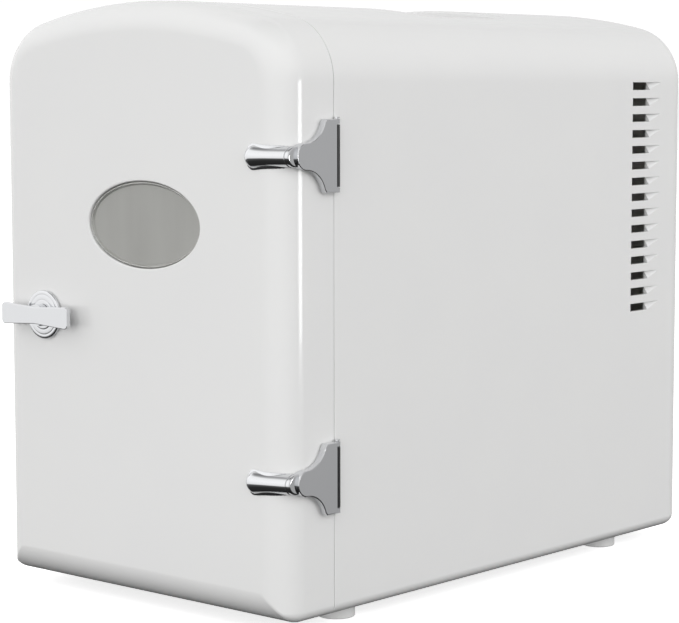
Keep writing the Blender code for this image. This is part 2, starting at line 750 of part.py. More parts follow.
def shelf(frame):
    """The slotted shelf that divides the compartment, resting on the liner's ledges."""
    half = CAVITY_HALF - GAP
    outline = rounded(-half, half, SHELF_FRONT, SHELF_BACK, SHELF_CORNER)
    pitch = 2 * (half - SHELF_BORDER + SHELF_SLOT_WIDTH / 2) / SHELF_SLOTS
    slots = []
    for i in range(SHELF_SLOTS):
        x = (i - (SHELF_SLOTS - 1) / 2) * pitch
        sides = (x - SHELF_SLOT_WIDTH / 2, x + SHELF_SLOT_WIDTH / 2)
        ends = (SHELF_FRONT + SHELF_BORDER, SHELF_BACK - SHELF_BORDER)
        slot = rounded(*sides, *ends, SHELF_SLOT_WIDTH / 2 - GAP, 2)
        slots.append(prism(slot, "Z", SHELF_Z - SHELF_THICK, SHELF_Z + 2 * SHELF_THICK))
    plate = prism(outline, "Z", SHELF_Z, SHELF_Z + SHELF_THICK)
    piece("shelf", plate, LINER_WHITE, frame, [("DIFFERENCE", together(*slots))])


def feet(frame):
    """Four feet, each with its screw from below."""
    bore_top = FOOT_BORE_DEPTH - FOOT_HEIGHT
    inner = SCREW_RADIUS + PIN_GAP
    for place_name, (x, y) in FOOT_PLACES.items():
        profile = [
            (FOOT_BORE, -FOOT_HEIGHT),
            (FOOT_RADIUS - FOOT_ROUND, -FOOT_HEIGHT),
            (FOOT_RADIUS, FOOT_ROUND - FOOT_HEIGHT),
            (FOOT_RADIUS + GAP, -GAP),
            (inner, -GAP),
            (inner, bore_top),
            (FOOT_BORE, bore_top),
        ]
        piece(f"foot_{place_name}", turned("Z", (x, y), profile, hollow=True), WHITE_ABS, frame)
        under = bore_top - GAP
        head = (FOOT_SCREW_HEAD, under - FOOT_SCREW_HEAD_THICK, under)
        thread = (SCREW_RADIUS, SHELL_WALL + FOOT_BOSS_HEIGHT - GAP)
        screw(f"foot_screw_{place_name}", "Z", (x, y), head, thread, STEEL, frame)


# Door


def door_outer_panel(door):
    """The white front of the door, a shallow cup with a round edge."""
    outside = front_form(0.0) + [(DOOR_DEPTH, 0.0)]
    inside = [(DOOR_DEPTH, SHELL_WALL)] + front_form(SHELL_WALL)[::-1]
    window = prism(window_outline(0.0), "Y", -SHELL_WALL, 2 * SHELL_WALL)
    holes = [window, rod("Y", (LATCH_X, LATCH_UP), SPINDLE_RADIUS + PIN_GAP, -SHELL_WALL, 2 * SHELL_WALL)]
    for z in HINGE_HEIGHTS.values():
        hole = (BRACKET_SCREW_X, z)
        holes.append(rod("Y", hole, SCREW_RADIUS + PIN_GAP, -SHELL_WALL, 2 * SHELL_WALL, SMALL_STEPS))
    cup = body_loft(outside + inside)
    piece("door_outer_panel", cup, WHITE_ABS, door, [("DIFFERENCE", together(*holes))])


def window_outline(margin):
    """The window's ellipse, widened by a margin."""
    return ellipse(
        (WINDOW_X, WINDOW_Z), WINDOW_HALF_WIDTH + margin, WINDOW_HALF_HEIGHT + margin, WINDOW_STEPS
    )


def plug_outline(inset):
    """The outline of the plug on the inside of the door."""
    return rounded(
        -PLUG_HALF + inset,
        PLUG_HALF - inset,
        PLUG_FLOOR + inset,
        PLUG_CEILING - inset,
        PLUG_RADIUS - inset,
    )


def gasket_ring(y, clearance):
    """The gasket's ring between two values of y, widened by a clearance."""
    inner = cavity_outline(GASKET_INSET - clearance)
    outer = cavity_outline(GASKET_INSET + GASKET_WIDTH + clearance)
    return tube(outer, inner, "Y", *y)


def door_inner_panel(door):
    """The inner skin of the door, with the plug that enters the compartment and the gasket's groove."""
    plate = body_loft([(PLATE_FRONT, INSIDE), (DOOR_DEPTH, INSIDE)])
    plug = prism(plug_outline(0.0), "Y", (PLATE_FRONT + DOOR_DEPTH) / 2, PLUG_BACK)
    hollow = prism(plug_outline(PLUG_WALL), "Y", PLATE_FRONT - PLUG_WALL, PLUG_BACK - PLUG_WALL)
    groove = gasket_ring((DOOR_DEPTH - GASKET_DEPTH_IN_PLATE, DOOR_DEPTH + SEAM), GAP)
    through = (PLUG_BACK - 2 * PLUG_WALL, PLUG_BACK + PLUG_WALL)
    holes = together(
        prism(window_outline(0.0), "Y", *through),
        rod("Y", (LATCH_X, LATCH_UP), SPINDLE_RADIUS + PIN_GAP, *through),
        groove,
    )
    steps = [("UNION", plug), ("DIFFERENCE", hollow), ("DIFFERENCE", holes)]
    piece("door_inner_panel", plate, LINER_WHITE, door, steps)


def door_insulation(door):
    """The foam that fills the door and its plug."""
    form = body_loft(front_form(INSIDE) + [(PLATE_FRONT - GAP, INSIDE)])
    core = prism(
        plug_outline(PLUG_WALL + GAP), "Y", PLATE_FRONT - INNER_PLATE, PLUG_BACK - PLUG_WALL - GAP
    )
    shank = (-SHELL_WALL, PLUG_BACK)
    holes = [
        prism(window_outline(WINDOW_LIP + GAP), "Y", *shank),
        rod("Y", (LATCH_X, LATCH_UP), SPINDLE_RADIUS + 2 * PIN_GAP, *shank),
    ]
    for z in HINGE_HEIGHTS.values():
        hole = (BRACKET_SCREW_X, z)
        holes.append(rod("Y", hole, FOOT_SCREW_HEAD, -SHELL_WALL, 2 * SHELL_WALL, SMALL_STEPS))
    steps = [("UNION", core), ("DIFFERENCE", together(*holes))]
    piece("door_insulation", form, FOAM, door, steps)


def window(door):
    """Two clear panes, each stepped to bear on the back of its wall, and the sleeve between them."""
    lip = WINDOW_LIP - GAP
    front_lip = SHELL_WALL + GAP
    sleeve_front = front_lip + WINDOW_LIP_THICK + GAP
    back_lip = PLUG_BACK - PLUG_WALL - GAP
    sleeve_back = back_lip - WINDOW_LIP_THICK - GAP
    outer_pane = [
        (window_outline(-2 * GAP), WINDOW_RECESS),
        (window_outline(-GAP), WINDOW_RECESS + GAP),
        (window_outline(-GAP), front_lip),
        (window_outline(lip), front_lip),
        (window_outline(lip), front_lip + WINDOW_LIP_THICK),
    ]
    inner_pane = [
        (window_outline(lip), back_lip - WINDOW_LIP_THICK),
        (window_outline(lip), back_lip),
        (window_outline(-GAP), back_lip),
        (window_outline(-GAP), PLUG_BACK - GAP),
    ]
    piece("window_outer_pane", stack("Y", outer_pane), CLEAR_PLASTIC, door)
    piece("window_inner_pane", stack("Y", inner_pane), CLEAR_PLASTIC, door)
    sleeve = tube(window_outline(lip), window_outline(lip - SLEEVE_WALL), "Y", sleeve_front, sleeve_back)
    piece("window_sleeve", sleeve, LINER_WHITE, door)


def door_gasket(door):
    """The soft seal round the opening."""
    back = DOOR_DEPTH + SEAM - GAP
    piece("door_gasket", gasket_ring((back - GASKET_HEIGHT, back), 0.0), RUBBER, door)


# Hinges


def bracket_outline(z):
    """The flared side plate of a hinge bracket, as (y, z) points: a round nose that sweeps out to a T."""
    nose_y = BRACKET_FRONT + BRACKET_NOSE
    nose = arc((nose_y, 0), BRACKET_NOSE, 180, 90, 8)
    sweep = arc((nose_y, BRACKET_NOSE + BRACKET_SWEEP), BRACKET_SWEEP, -90, -17, 8)[1:]
    upper = nose + sweep + [(sweep[-1][0] + BRACKET_TIP_FLAT, BRACKET_HALF), (BRACKET_REAR, BRACKET_HALF)]
    lower = [(y, -up) for y, up in reversed(upper[1:])]
    return [(y, z + up) for y, up in upper + lower]


def door_face(x):
    """The y of the door's front surface at x, round the edge on the hinge side."""
    past = max(0.0, x - (HALF - FRONT_ROUND))
    return FRONT_ROUND - math.sqrt(FRONT_ROUND**2 - past**2)


def bar_section(x, z, half, front, depth):
    """One D-shaped section of the bar, deep enough to reach round the door's edge."""
    curve = [(front + depth * (1 + a), half * b) for a, b in arc((0, 0), 1.0, 90, 270, 12)]
    return [(x, y, z + up) for y, up in curve + [(FRONT_ROUND, -half), (FRONT_ROUND, half)]]


def bar_end(z, extra, proud, depth):
    """Sections of the bar's round end."""
    rings = []
    for i in range(5):
        grown = math.sin(math.radians(10 + 20 * i))
        x = BAR_START + BAR_END_LENGTH * (1 - math.sqrt(1 - grown**2)) - extra
        rings.append(bar_section(x, z, (BAR_HALF + extra) * grown, -proud * grown, depth * grown))
    return rings


def bracket_bar(z):
    """The bar: a round end, a slight waist, and a straight run that sinks towards the plate."""
    start = BAR_START + BAR_END_LENGTH
    end = HALF + BRACKET_PROUD - 2 * BAR_RIM
    rings = bar_end(z, 0.0, BAR_PROUD, BAR_DEPTH)
    for share in (0.5, 1.0):
        front = (BAR_PROUD + BAR_SUNK) * share - BAR_PROUD
        rings.append(bar_section(start + (end - start) * share, z, BAR_WAIST_HALF, front, BAR_DEPTH))
    return loft(rings)


def bracket_rim(z):
    """The thin rim under the bar, which follows the door's surface."""
    rings = bar_end(z, BAR_RIM, BAR_RIM_THICK, BAR_RIM_THICK)
    start = BAR_START + BAR_END_LENGTH
    end = HALF - BAR_RIM
    for i in range(1, 7):
        x = start + (end - start) * i / 6
        half = BAR_HALF + BAR_RIM - (BAR_HALF - BAR_WAIST_HALF) * min(1.0, i / 3)
        rings.append(bar_section(x, z, half, door_face(x) - BAR_RIM_THICK, BAR_RIM_THICK))
    return loft(rings)


def hinge(level, z, frame, door):
    """One hinge: bracket and pin on the door, leaf and screw on the cabinet."""
    plate = prism(bracket_outline(z), "X", HALF - FRONT_ROUND / 2, HALF + BRACKET_PROUD)
    form = body_loft(front_form(-GAP) + [(2 * DOOR_DEPTH, -GAP)])
    ears = []
    for side in (-1, 1):
        ends = sorted((z + side * (KNUCKLE_HALF + GAP), z + side * BRACKET_HALF))
        ears.append(rod("Z", (HINGE_X, HINGE_Y), KNUCKLE_RADIUS, *ends, SMALL_STEPS))
        across = (HINGE_X - KNUCKLE_RADIUS, HINGE_X + KNUCKLE_RADIUS)
        ears.append(box(across, (BRACKET_REAR - BRACKET_TIP_FLAT, HINGE_Y), ends))
    reach = (z - 2 * BRACKET_HALF, z + 2 * BRACKET_HALF)
    hole = rod("Z", (HINGE_X, HINGE_Y), PIN_RADIUS + PIN_GAP, *reach, SMALL_STEPS)
    bore = (-BRACKET_BORE_END, FRONT_ROUND)
    blind = rod("Y", (BRACKET_SCREW_X, z), SCREW_RADIUS + PIN_GAP, *bore, SMALL_STEPS)
    steps = [
        ("UNION", bracket_bar(z)),
        ("UNION", bracket_rim(z)),
        ("DIFFERENCE", form),
        ("UNION", together(ears[0], ears[2])),
        ("UNION", together(ears[1], ears[3])),
        ("DIFFERENCE", together(hole, blind)),
    ]
    piece(f"hinge_bracket_{level}", plate, CHROME, door, steps)
    head = (FOOT_SCREW_HEAD - 2 * GAP, 2 * SHELL_WALL - GAP, SHELL_WALL + GAP)
    thread = (SCREW_RADIUS, -BRACKET_SCREW_TIP)
    screw(f"bracket_screw_{level}", "Y", (BRACKET_SCREW_X, z), head, thread, STEEL, door)
    pin_top = z + BRACKET_HALF + GAP
    pin = [
        (PIN_RADIUS, z - BRACKET_HALF + GAP),
        (PIN_RADIUS, pin_top),
        (PIN_HEAD_RADIUS, pin_top),
        (PIN_HEAD_RADIUS, pin_top + PIN_HEAD_HEIGHT),
    ]
    piece(f"hinge_pin_{level}", turned("Z", (HINGE_X, HINGE_Y), pin, steps=SMALL_STEPS), CHROME, door)
    hinge_leaf(level, z, frame)


def hinge_leaf(level, z, frame):
    """The cabinet's half of a hinge: a knuckle on the pin and a tab screwed into the front edge."""
    tab_back = CABINET_FRONT + LEAF_NOTCH_DEPTH - GAP
    tab_front = tab_back - LEAF_THICK
    low, high = z - KNUCKLE_HALF, z + KNUCKLE_HALF
    tab = box((HINGE_X - LEAF_LENGTH, HINGE_X), (tab_front, tab_back), (low, high))
    knuckle = rod("Z", (HINGE_X, HINGE_Y), KNUCKLE_RADIUS, low, high)
    reach = (low - KNUCKLE_RADIUS, high + KNUCKLE_RADIUS)
    bore = rod("Z", (HINGE_X, HINGE_Y), PIN_RADIUS + PIN_GAP, *reach, SMALL_STEPS)
    centre = (HINGE_X - LEAF_SCREW_IN, z)
    sink = [
        (LEAF_SCREW_HEAD + PIN_GAP, tab_front - LEAF_THICK),
        (LEAF_SCREW_HEAD + PIN_GAP, tab_front),
        (LEAF_SCREW_RADIUS + PIN_GAP, tab_back),
        (LEAF_SCREW_RADIUS + PIN_GAP, tab_back + LEAF_THICK),
    ]
    steps = [
        ("UNION", knuckle),
        ("DIFFERENCE", together(bore, turned("Y", centre, sink, steps=SMALL_STEPS))),
    ]
    piece(f"hinge_leaf_{level}", tab, BLACK_STEEL, frame, steps)
    tip = CABINET_FRONT + LEAF_SCREW_LENGTH
    profile = [
        (LEAF_SCREW_HEAD, tab_front),
        (LEAF_SCREW_RADIUS, tab_back),
        (LEAF_SCREW_RADIUS, tip - LEAF_SCREW_RADIUS),
        (LEAF_SCREW_RADIUS * 0.4, tip),
    ]
    piece(f"leaf_screw_{level}", turned("Y", centre, profile, steps=SMALL_STEPS), STEEL, frame)


# Latch


def latch(door, turn):
    """The chrome latch: a fixed rosette, and a handle whose spindle turns the cam behind the door."""
    centre = (LATCH_X, LATCH_UP)
    bore = SPINDLE_RADIUS + PIN_GAP
    face = -ESCUTCHEON_HEIGHT
    rosette = [
        (bore, -GAP),
        (ESCUTCHEON_RADIUS, -GAP),
        (ESCUTCHEON_RADIUS, face * 0.45),
        (ESCUTCHEON_RADIUS * 0.93, face * 0.7),
        (ESCUTCHEON_RADIUS * 0.78, face * 0.7),
        (ESCUTCHEON_RADIUS * 0.74, face),
        (bore, face),
    ]
    steps = ROUND_STEPS + SMALL_STEPS
    piece("latch_rosette", turned("Y", centre, rosette, hollow=True, steps=steps), CHROME, door)
    hub_back = face - GAP
    bar_back = hub_back - GAP
    hub = rod("Y", centre, HANDLE_HUB_RADIUS, (bar_back - HANDLE_FRONT) / 2, hub_back)
    socket = rod("Y", centre, bore, SPINDLE_SOCKET_SKIN - HANDLE_FRONT, 0.0, SMALL_STEPS)
    bar = prism(handle_outline(), "Y", -HANDLE_FRONT, bar_back)
    piece("latch_handle", bar, CHROME, turn, [("UNION", hub), ("DIFFERENCE", socket)])
    spindle_end = CAM_BACK + GAP + NUT_THICK + GAP
    spindle_start = SPINDLE_SOCKET_SKIN + GAP - HANDLE_FRONT
    spindle = rod("Y", centre, SPINDLE_RADIUS, spindle_start, spindle_end, SMALL_STEPS)
    piece("latch_spindle", spindle, STEEL, turn)
    cam = [(LATCH_X + a, LATCH_UP + b) for a, b in cam_outline()]
    hole = rod("Y", centre, bore, CAM_FRONT - CAM_THICK, CAM_BACK + CAM_THICK, SMALL_STEPS)
    piece("latch_cam", prism(cam, "Y", CAM_FRONT, CAM_BACK), STEEL, turn, [("DIFFERENCE", hole)])
    nut_front = CAM_BACK + GAP
    nut = tube(circle(centre, NUT_RADIUS, 6), circle(centre, bore, 6), "Y", nut_front, nut_front + NUT_THICK)
    piece("latch_nut", nut, STEEL, turn)


def handle_outline():
    """The bow-tie bar of the latch handle: high at its ends and narrow in the middle."""
    half = HANDLE_LENGTH / 2 - HANDLE_CORNER
    rise = (HANDLE_END - HANDLE_WAIST) / 2
    sweep = (half**2 + rise**2) / (2 * rise)
    spread = math.degrees(math.asin(half / sweep))
    corner = HANDLE_END / 2 - HANDLE_CORNER
    top = arc((0, HANDLE_WAIST / 2 + sweep), sweep, -90 - spread, -90 + spread, 10)
    right = arc((half, corner), HANDLE_CORNER, 80, 0, 4) + arc((half, -corner), HANDLE_CORNER, 0, -80, 4)
    bottom = [(-a, -b) for a, b in top]
    left = [(-a, -b) for a, b in right]
    outline = top + right + bottom + left
    return [(LATCH_X + a, LATCH_UP + b) for a, b in outline]


def cam_outline():
    """The cam: a round hub with an arm that points up while the latch is open."""
    tip = arc((0, CAM_REACH - CAM_HALF_WIDTH), CAM_HALF_WIDTH, 0, 180, 6)
    hub_radius = 2 * CAM_HALF_WIDTH
    return tip + arc((0, 0), hub_radius, 150, 390, 14)


# Carrying handle


def carry_handle(frame, bail):
    """The folding handle in the top, and its two pins."""
    front = RECESS_FRONT + BAIL_FRONT_GAP
    back = BAIL_PIVOT[1] + BAIL_TAIL
    inner = BAIL_HALF - BAIL_WIDTH
    outline = [
        (-BAIL_HALF, back),
        (-BAIL_HALF, front + BAIL_GRIP / 2),
        (-BAIL_HALF + BAIL_GRIP / 2, front),
        (BAIL_HALF - BAIL_GRIP / 2, front),
        (BAIL_HALF, front + BAIL_GRIP / 2),
        (BAIL_HALF, back),
        (inner, back),
        (inner, front + 1.4 * BAIL_GRIP),
        (inner - 0.4 * BAIL_GRIP, front + BAIL_GRIP),
        (0.4 * BAIL_GRIP - inner, front + BAIL_GRIP),
        (-inner, front + 1.4 * BAIL_GRIP),
        (-inner, back),
    ]
    low = BAIL_PIVOT[2] - BAIL_THICK / 2
    holes = []
    for side in (-1, 1):
        ends = sorted((side * (inner - BAIL_WIDTH), side * RECESS_HALF))
        holes.append(rod("X", BAIL_PIVOT[1:], BAIL_PIN_RADIUS + PIN_GAP, *ends, SMALL_STEPS))
    bar = bevelled(prism(outline, "Z", low, low + BAIL_THICK), BAIL_ROUND)
    piece("carry_handle", bar, WHITE_ABS, bail, [("DIFFERENCE", together(*holes))])
    for name, side in (("left", -1), ("right", 1)):
        ends = sorted((side * (inner - GAP), side * (RECESS_HALF + RECESS_WALL)))
        pin = rod("X", BAIL_PIVOT[1:], BAIL_PIN_RADIUS, *ends, SMALL_STEPS)
        piece(f"handle_pin_{name}", pin, STEEL, frame)


def bevelled(shape, width):
    """The shape with its edges rounded."""
    bmesh.ops.bevel(shape, geom=shape.edges, offset=width, segments=2, profile=0.5, affect="EDGES")
    return shape


# Cooling unit


def fan(name, half, y, blades, frame, rotor):
    """A square fan: frame with hub plate and struts, and a rotor with pitched blades."""
    front, back = y
    ring = half - FAN_RING
    hub = half * 0.36
    centre = (0, COOL_Z)
    plate = prism(rounded(-half, half, COOL_Z - half, COOL_Z + half, half * 0.12, 3), "Y", front, back)
    bore = rod("Y", centre, ring, front - FAN_BACK, back + FAN_BACK, 32)
    struts = rod("Y", centre, hub, back - FAN_BACK, back, SMALL_STEPS)
    arms = []
    for start in (90, 210, 330):
        turn = math.radians(start)
        along = (math.cos(turn), math.sin(turn))
        side = (-along[1] * FAN_STRUT / 2, along[0] * FAN_STRUT / 2)
        near, far = hub * 0.8, ring + FAN_RING / 2
        corners = [(near, -1), (far, -1), (far, 1), (near, 1)]
        points = [
            (r * along[0] + s * side[0], COOL_Z + r * along[1] + s * side[1]) for r, s in corners
        ]
        arms.append(prism(points, "Y", back - FAN_BACK * 0.9, back - FAN_BACK * 0.1))
    steps = [("DIFFERENCE", bore), ("UNION", together(*arms)), ("UNION", struts)]
    piece(f"{name}_frame", plate, BLACK_PLASTIC, frame, steps)
    room = (front + FAN_BACK, back - FAN_BACK - 2 * GAP)
    wheel = rod("Y", centre, hub, *room)
    vanes = [blade(hub * 0.9, ring - FAN_TIP_GAP, 360 * i / blades, room) for i in range(blades)]
    piece(f"{name}_rotor", wheel, BLACK_PLASTIC, rotor, [("UNION", together(*vanes))])


def blade(root, tip, start, room):
    """One fan blade, a thin plate that twists from the front of the hub to its back."""
    front, back = room
    depth = back - front
    rings = []
    for i in range(4):
        radius = root + (tip - root) * i / 3
        sweep = math.radians(start + 8 * i)
        lean = math.radians(26 - 4 * i)
        ring = []
        for across, along in ((-1, 0.1), (-0.86, 0.1), (1, 0.9), (0.86, 0.9)):
            angle = sweep + across * lean
            ring.append((radius * math.cos(angle), front + depth * along, COOL_Z + radius * math.sin(angle)))
        rings.append(ring)
    return loft(rings)


def cooling_unit(frame, inner_rotor, rear_rotor):
    """From front to back: grille, fan, cold sink, block, Peltier module, hot sink and fan."""
    grille(frame)
    fan_front = GRILLE_FRONT + GRILLE_WALL + GAP
    fan("inner_fan", INNER_FAN_HALF, (fan_front, fan_front + INNER_FAN_THICK), 7, frame, inner_rotor)
    sink_back = CAVITY_BACK - GAP
    sink_base = sink_back - SINK_BASE
    cold = comb(COLD_SINK_HALF, COLD_SINK_FINS, sink_base, sink_back, sink_base - COLD_FIN_HEIGHT)
    low, high = COOL_Z - COLD_SINK_HALF, COOL_Z + COLD_SINK_HALF
    piece("cold_sink", prism(cold, "Z", low, high), ALUMINIUM, frame)
    block = prism(block_outline(COLD_BLOCK_HALF), "Y", CAVITY_BACK, INSULATION_BACK)
    piece("cold_block", block, ALUMINIUM, frame)
    module = INSULATION_BACK + GAP
    plate = prism(block_outline(COLD_BLOCK_HALF), "Y", module, module + PELTIER_THICK)
    piece("peltier_module", plate, CERAMIC, frame)
    hot_front = module + PELTIER_THICK + GAP
    hot_base = hot_front + SINK_BASE
    hot = comb(HOT_SINK_HALF, HOT_SINK_FINS, hot_base, hot_front, hot_base + HOT_FIN_HEIGHT)
    low, high = COOL_Z - HOT_SINK_HALF, COOL_Z + HOT_SINK_HALF
    piece("hot_sink", prism(hot, "Z", low, high), ALUMINIUM, frame)
    fan("rear_fan", REAR_FAN_HALF, (REAR_FAN_BACK - REAR_FAN_THICK, REAR_FAN_BACK), 9, frame, rear_rotor)


def grille(frame):
    """The slotted cover over the cold sink, inside the compartment."""
    low, high = COOL_Z - GRILLE_HALF_HEIGHT, COOL_Z + GRILLE_HALF_HEIGHT
    back = CAVITY_BACK - GAP
    wide = GRILLE_HALF_WIDTH
    cover = prism(rounded(-wide, wide, low, high, GRILLE_CORNER), "Y", GRILLE_FRONT, back)
    inside = (-wide + GRILLE_WALL, wide - GRILLE_WALL, low + GRILLE_WALL, high - GRILLE_WALL)
    inner = rounded(*inside, GRILLE_CORNER - GRILLE_WALL)
    hollow = prism(inner, "Y", GRILLE_FRONT + GRILLE_WALL, back + GRILLE_WALL)
    slots = []
    for i in range(GRILLE_SLOTS):
        z = COOL_Z + (i - (GRILLE_SLOTS - 1) / 2) * GRILLE_PITCH
        across = (-INNER_FAN_HALF, INNER_FAN_HALF)
        slot = rounded(*across, z - GRILLE_SLOT / 2, z + GRILLE_SLOT / 2, GRILLE_SLOT / 2 - GAP, 2)
        slots.append(prism(slot, "Y", GRILLE_FRONT - GRILLE_WALL, GRILLE_FRONT + 2 * GRILLE_WALL))
    steps = [("DIFFERENCE", hollow), ("DIFFERENCE", together(*slots))]
    piece("inner_grille", cover, LINER_WHITE, frame, steps)


# Rear cover and electrical parts


def rear_cover(frame):
    """The cover in the back opening: air outlet, screw holes and cut-outs for the sockets."""
    plate = body_loft([(COVER_FRONT, RIM_INSET + GAP), (COVER_BACK, RIM_INSET + GAP)])
    through = (COVER_FRONT - COVER_THICK, COVER_BACK + COVER_THICK)
    cuts = []
    for i in range(OUTLET_SLOTS):
        z = (i - (OUTLET_SLOTS - 1) / 2) * OUTLET_PITCH
        half = math.sqrt(OUTLET_RADIUS**2 - (abs(z) + OUTLET_SLOT / 2) ** 2)
        low = COOL_Z + z - OUTLET_SLOT / 2
        slot = rounded(-half, half, low, low + OUTLET_SLOT, OUTLET_SLOT / 2 - GAP, 2)
        cuts.append(prism(slot, "Y", *through))
    for x, z in COVER_SCREW_PLACES.values():
        cuts.append(rod("Y", (x, z), SCREW_RADIUS + PIN_GAP, *through, SMALL_STEPS))
    cuts.append(prism(socket_outline(AC_X, AC_HALF_WIDTH + GAP, AC_HALF_HEIGHT + GAP), "Y", *through))
    cuts.append(rod("Y", (DC_X, SOCKET_UP), DC_RADIUS + GAP, *through))
    wide, tall = SWITCH_HALF_WIDTH + GAP, SWITCH_HALF_HEIGHT + GAP
    cuts.append(prism(socket_outline(SWITCH_X, wide, tall), "Y", *through))
    cuts.append(rod("Y", (LED_X, SOCKET_UP), LED_RADIUS + GAP, *through, SMALL_STEPS))
    piece("rear_cover", plate, WHITE_ABS, frame, [("DIFFERENCE", together(*cuts))])
    under = COVER_BACK + GAP
    for place_name, centre in COVER_SCREW_PLACES.items():
        head = (COVER_SCREW_HEAD, under + COVER_SCREW_HEAD_THICK, under)
        thread = (SCREW_RADIUS, COVER_BACK - COVER_SCREW_LENGTH + 2 * GAP)
        screw(f"cover_screw_{place_name}", "Y", centre, head, thread, STEEL, frame)


def socket_outline(x, half_width, half_height):
    """A rounded rectangle on the line of the sockets."""
    return rounded(
        x - half_width,
        x + half_width,
        SOCKET_UP - half_height,
        SOCKET_UP + half_height,
        min(half_width, half_height) * 0.4,
        3,
    )


def flanged(x, half_width, half_height, deep):
    """A socket body with its flange on the outside of the rear cover."""
    flange_front = COVER_BACK + GAP
    flange_back = flange_front + SOCKET_FLANGE_THICK
    inner = socket_outline(x, half_width, half_height)
    outer = socket_outline(x, half_width + SOCKET_FLANGE, half_height + SOCKET_FLANGE)
    levels = [(inner, COVER_BACK - deep), (inner, flange_front), (outer, flange_front), (outer, flange_back)]
    return stack("Y", levels), flange_back


def sockets(frame, slider):
    """Mains inlet, low-voltage inlet, selector switch and lamp."""
    body, face = flanged(AC_X, AC_HALF_WIDTH, AC_HALF_HEIGHT, AC_DEPTH)
    floor = face - AC_CUP_DEPTH
    cup = rounded(
        AC_X - AC_HALF_WIDTH + AC_WALL,
        AC_X + AC_HALF_WIDTH - AC_WALL,
        SOCKET_UP - AC_HALF_HEIGHT + AC_WALL,
        SOCKET_UP + AC_HALF_HEIGHT - AC_WALL,
        AC_CUP_RADIUS,
    )
    pins = []
    for side in (-1, 1):
        centre = (AC_X + side * AC_PIN_OFFSET, SOCKET_UP)
        pins.append(rod("Y", centre, AC_PIN_RADIUS, floor - AC_PIN_RADIUS, face - AC_WALL, SMALL_STEPS))
    steps = [("DIFFERENCE", prism(cup, "Y", floor, face + AC_WALL)), ("UNION", together(*pins))]
    piece("ac_inlet", body, BLACK_PLASTIC, frame, steps)
    dc_profile = [
        (DC_RADIUS, COVER_BACK - DC_BODY_DEPTH),
        (DC_RADIUS, COVER_BACK + GAP),
        (DC_RADIUS + SOCKET_FLANGE, COVER_BACK + GAP),
        (DC_RADIUS + SOCKET_FLANGE, face),
        (DC_BORE, face),
        (DC_BORE, face - DC_BORE_DEPTH),
        (DC_PIN_RADIUS, face - DC_BORE_DEPTH),
        (DC_PIN_RADIUS, face - DC_PIN_RADIUS),
    ]
    piece("dc_inlet", turned("Y", (DC_X, SOCKET_UP), dc_profile), BLACK_PLASTIC, frame)
    body, face = flanged(SWITCH_X, SWITCH_HALF_WIDTH, SWITCH_HALF_HEIGHT, SWITCH_DEPTH)
    slot_floor = face - SWITCH_SLOT_DEPTH
    slot = box(
        (SWITCH_X - SWITCH_SLOT_HALF, SWITCH_X + SWITCH_SLOT_HALF),
        (slot_floor, face + SWITCH_SLOT_DEPTH),
        (SOCKET_UP - SWITCH_SLOT_HEIGHT, SOCKET_UP + SWITCH_SLOT_HEIGHT),
    )
    piece("switch_body", body, BLACK_PLASTIC, frame, [("DIFFERENCE", slot)])
    knob = box(
        (SWITCH_X - SWITCH_KNOB_HALF, SWITCH_X + SWITCH_KNOB_HALF),
        (slot_floor + GAP, DEPTH - GAP / 2),
        (SOCKET_UP - SWITCH_SLOT_HEIGHT + GAP, SOCKET_UP + SWITCH_SLOT_HEIGHT - GAP),
    )
    piece("power_switch", bevelled(knob, SWITCH_KNOB_ROUND), WHITE_ABS, slider)
    lamp = [
        (LED_RADIUS, COVER_FRONT - LED_LENGTH),
        (LED_RADIUS, COVER_BACK),
        (LED_RADIUS * 0.7, COVER_BACK + LED_RADIUS * 0.5),
    ]
    piece("power_led", turned("Y", (LED_X, SOCKET_UP), lamp, steps=SMALL_STEPS), LED_GREEN, frame)


def circuit_boards(frame):
    """The control board on its stands, and the power supply, on the floor behind the insulation."""
    front = INSULATION_BACK + BOARD_FROM_INSULATION
    back = front + BOARD_LENGTH
    floor = INSIDE
    deck = floor + BOARD_STAND
    top = deck + BOARD_THICK / 2
    left = BOARD_FROM_SIDE - HALF
    right = left + BOARD_WIDTH
    board = box((left, right), (front, back), (deck, deck + BOARD_THICK))
    stands = [
        rod("Z", (x, y), STAND_RADIUS, floor, top, SMALL_STEPS)
        for x in (left + STAND_INSET, right - STAND_INSET)
        for y in (front + STAND_INSET, back - STAND_INSET)
    ]
    parts = [
        rod("Z", (left + x, front + y), radius, top, top + height, SMALL_STEPS)
        for x, y, radius, height in CAPACITORS
    ]
    for x, y, side, height in CHIPS:
        ends = (left + x, left + x + side)
        parts.append(box(ends, (front + y, front + y + side), (top, top + height)))
    steps = [("UNION", together(*stands)), ("UNION", together(*parts))]
    piece("control_board", board, BOARD_GREEN, frame, steps)
    across = (HALF - SUPPLY_FROM_SIDE - SUPPLY_WIDTH, HALF - SUPPLY_FROM_SIDE)
    case = box(across, (front, back), (floor, floor + SUPPLY_HEIGHT))
    piece("power_supply", bevelled(case, SUPPLY_ROUND), BLACK_PLASTIC, frame)


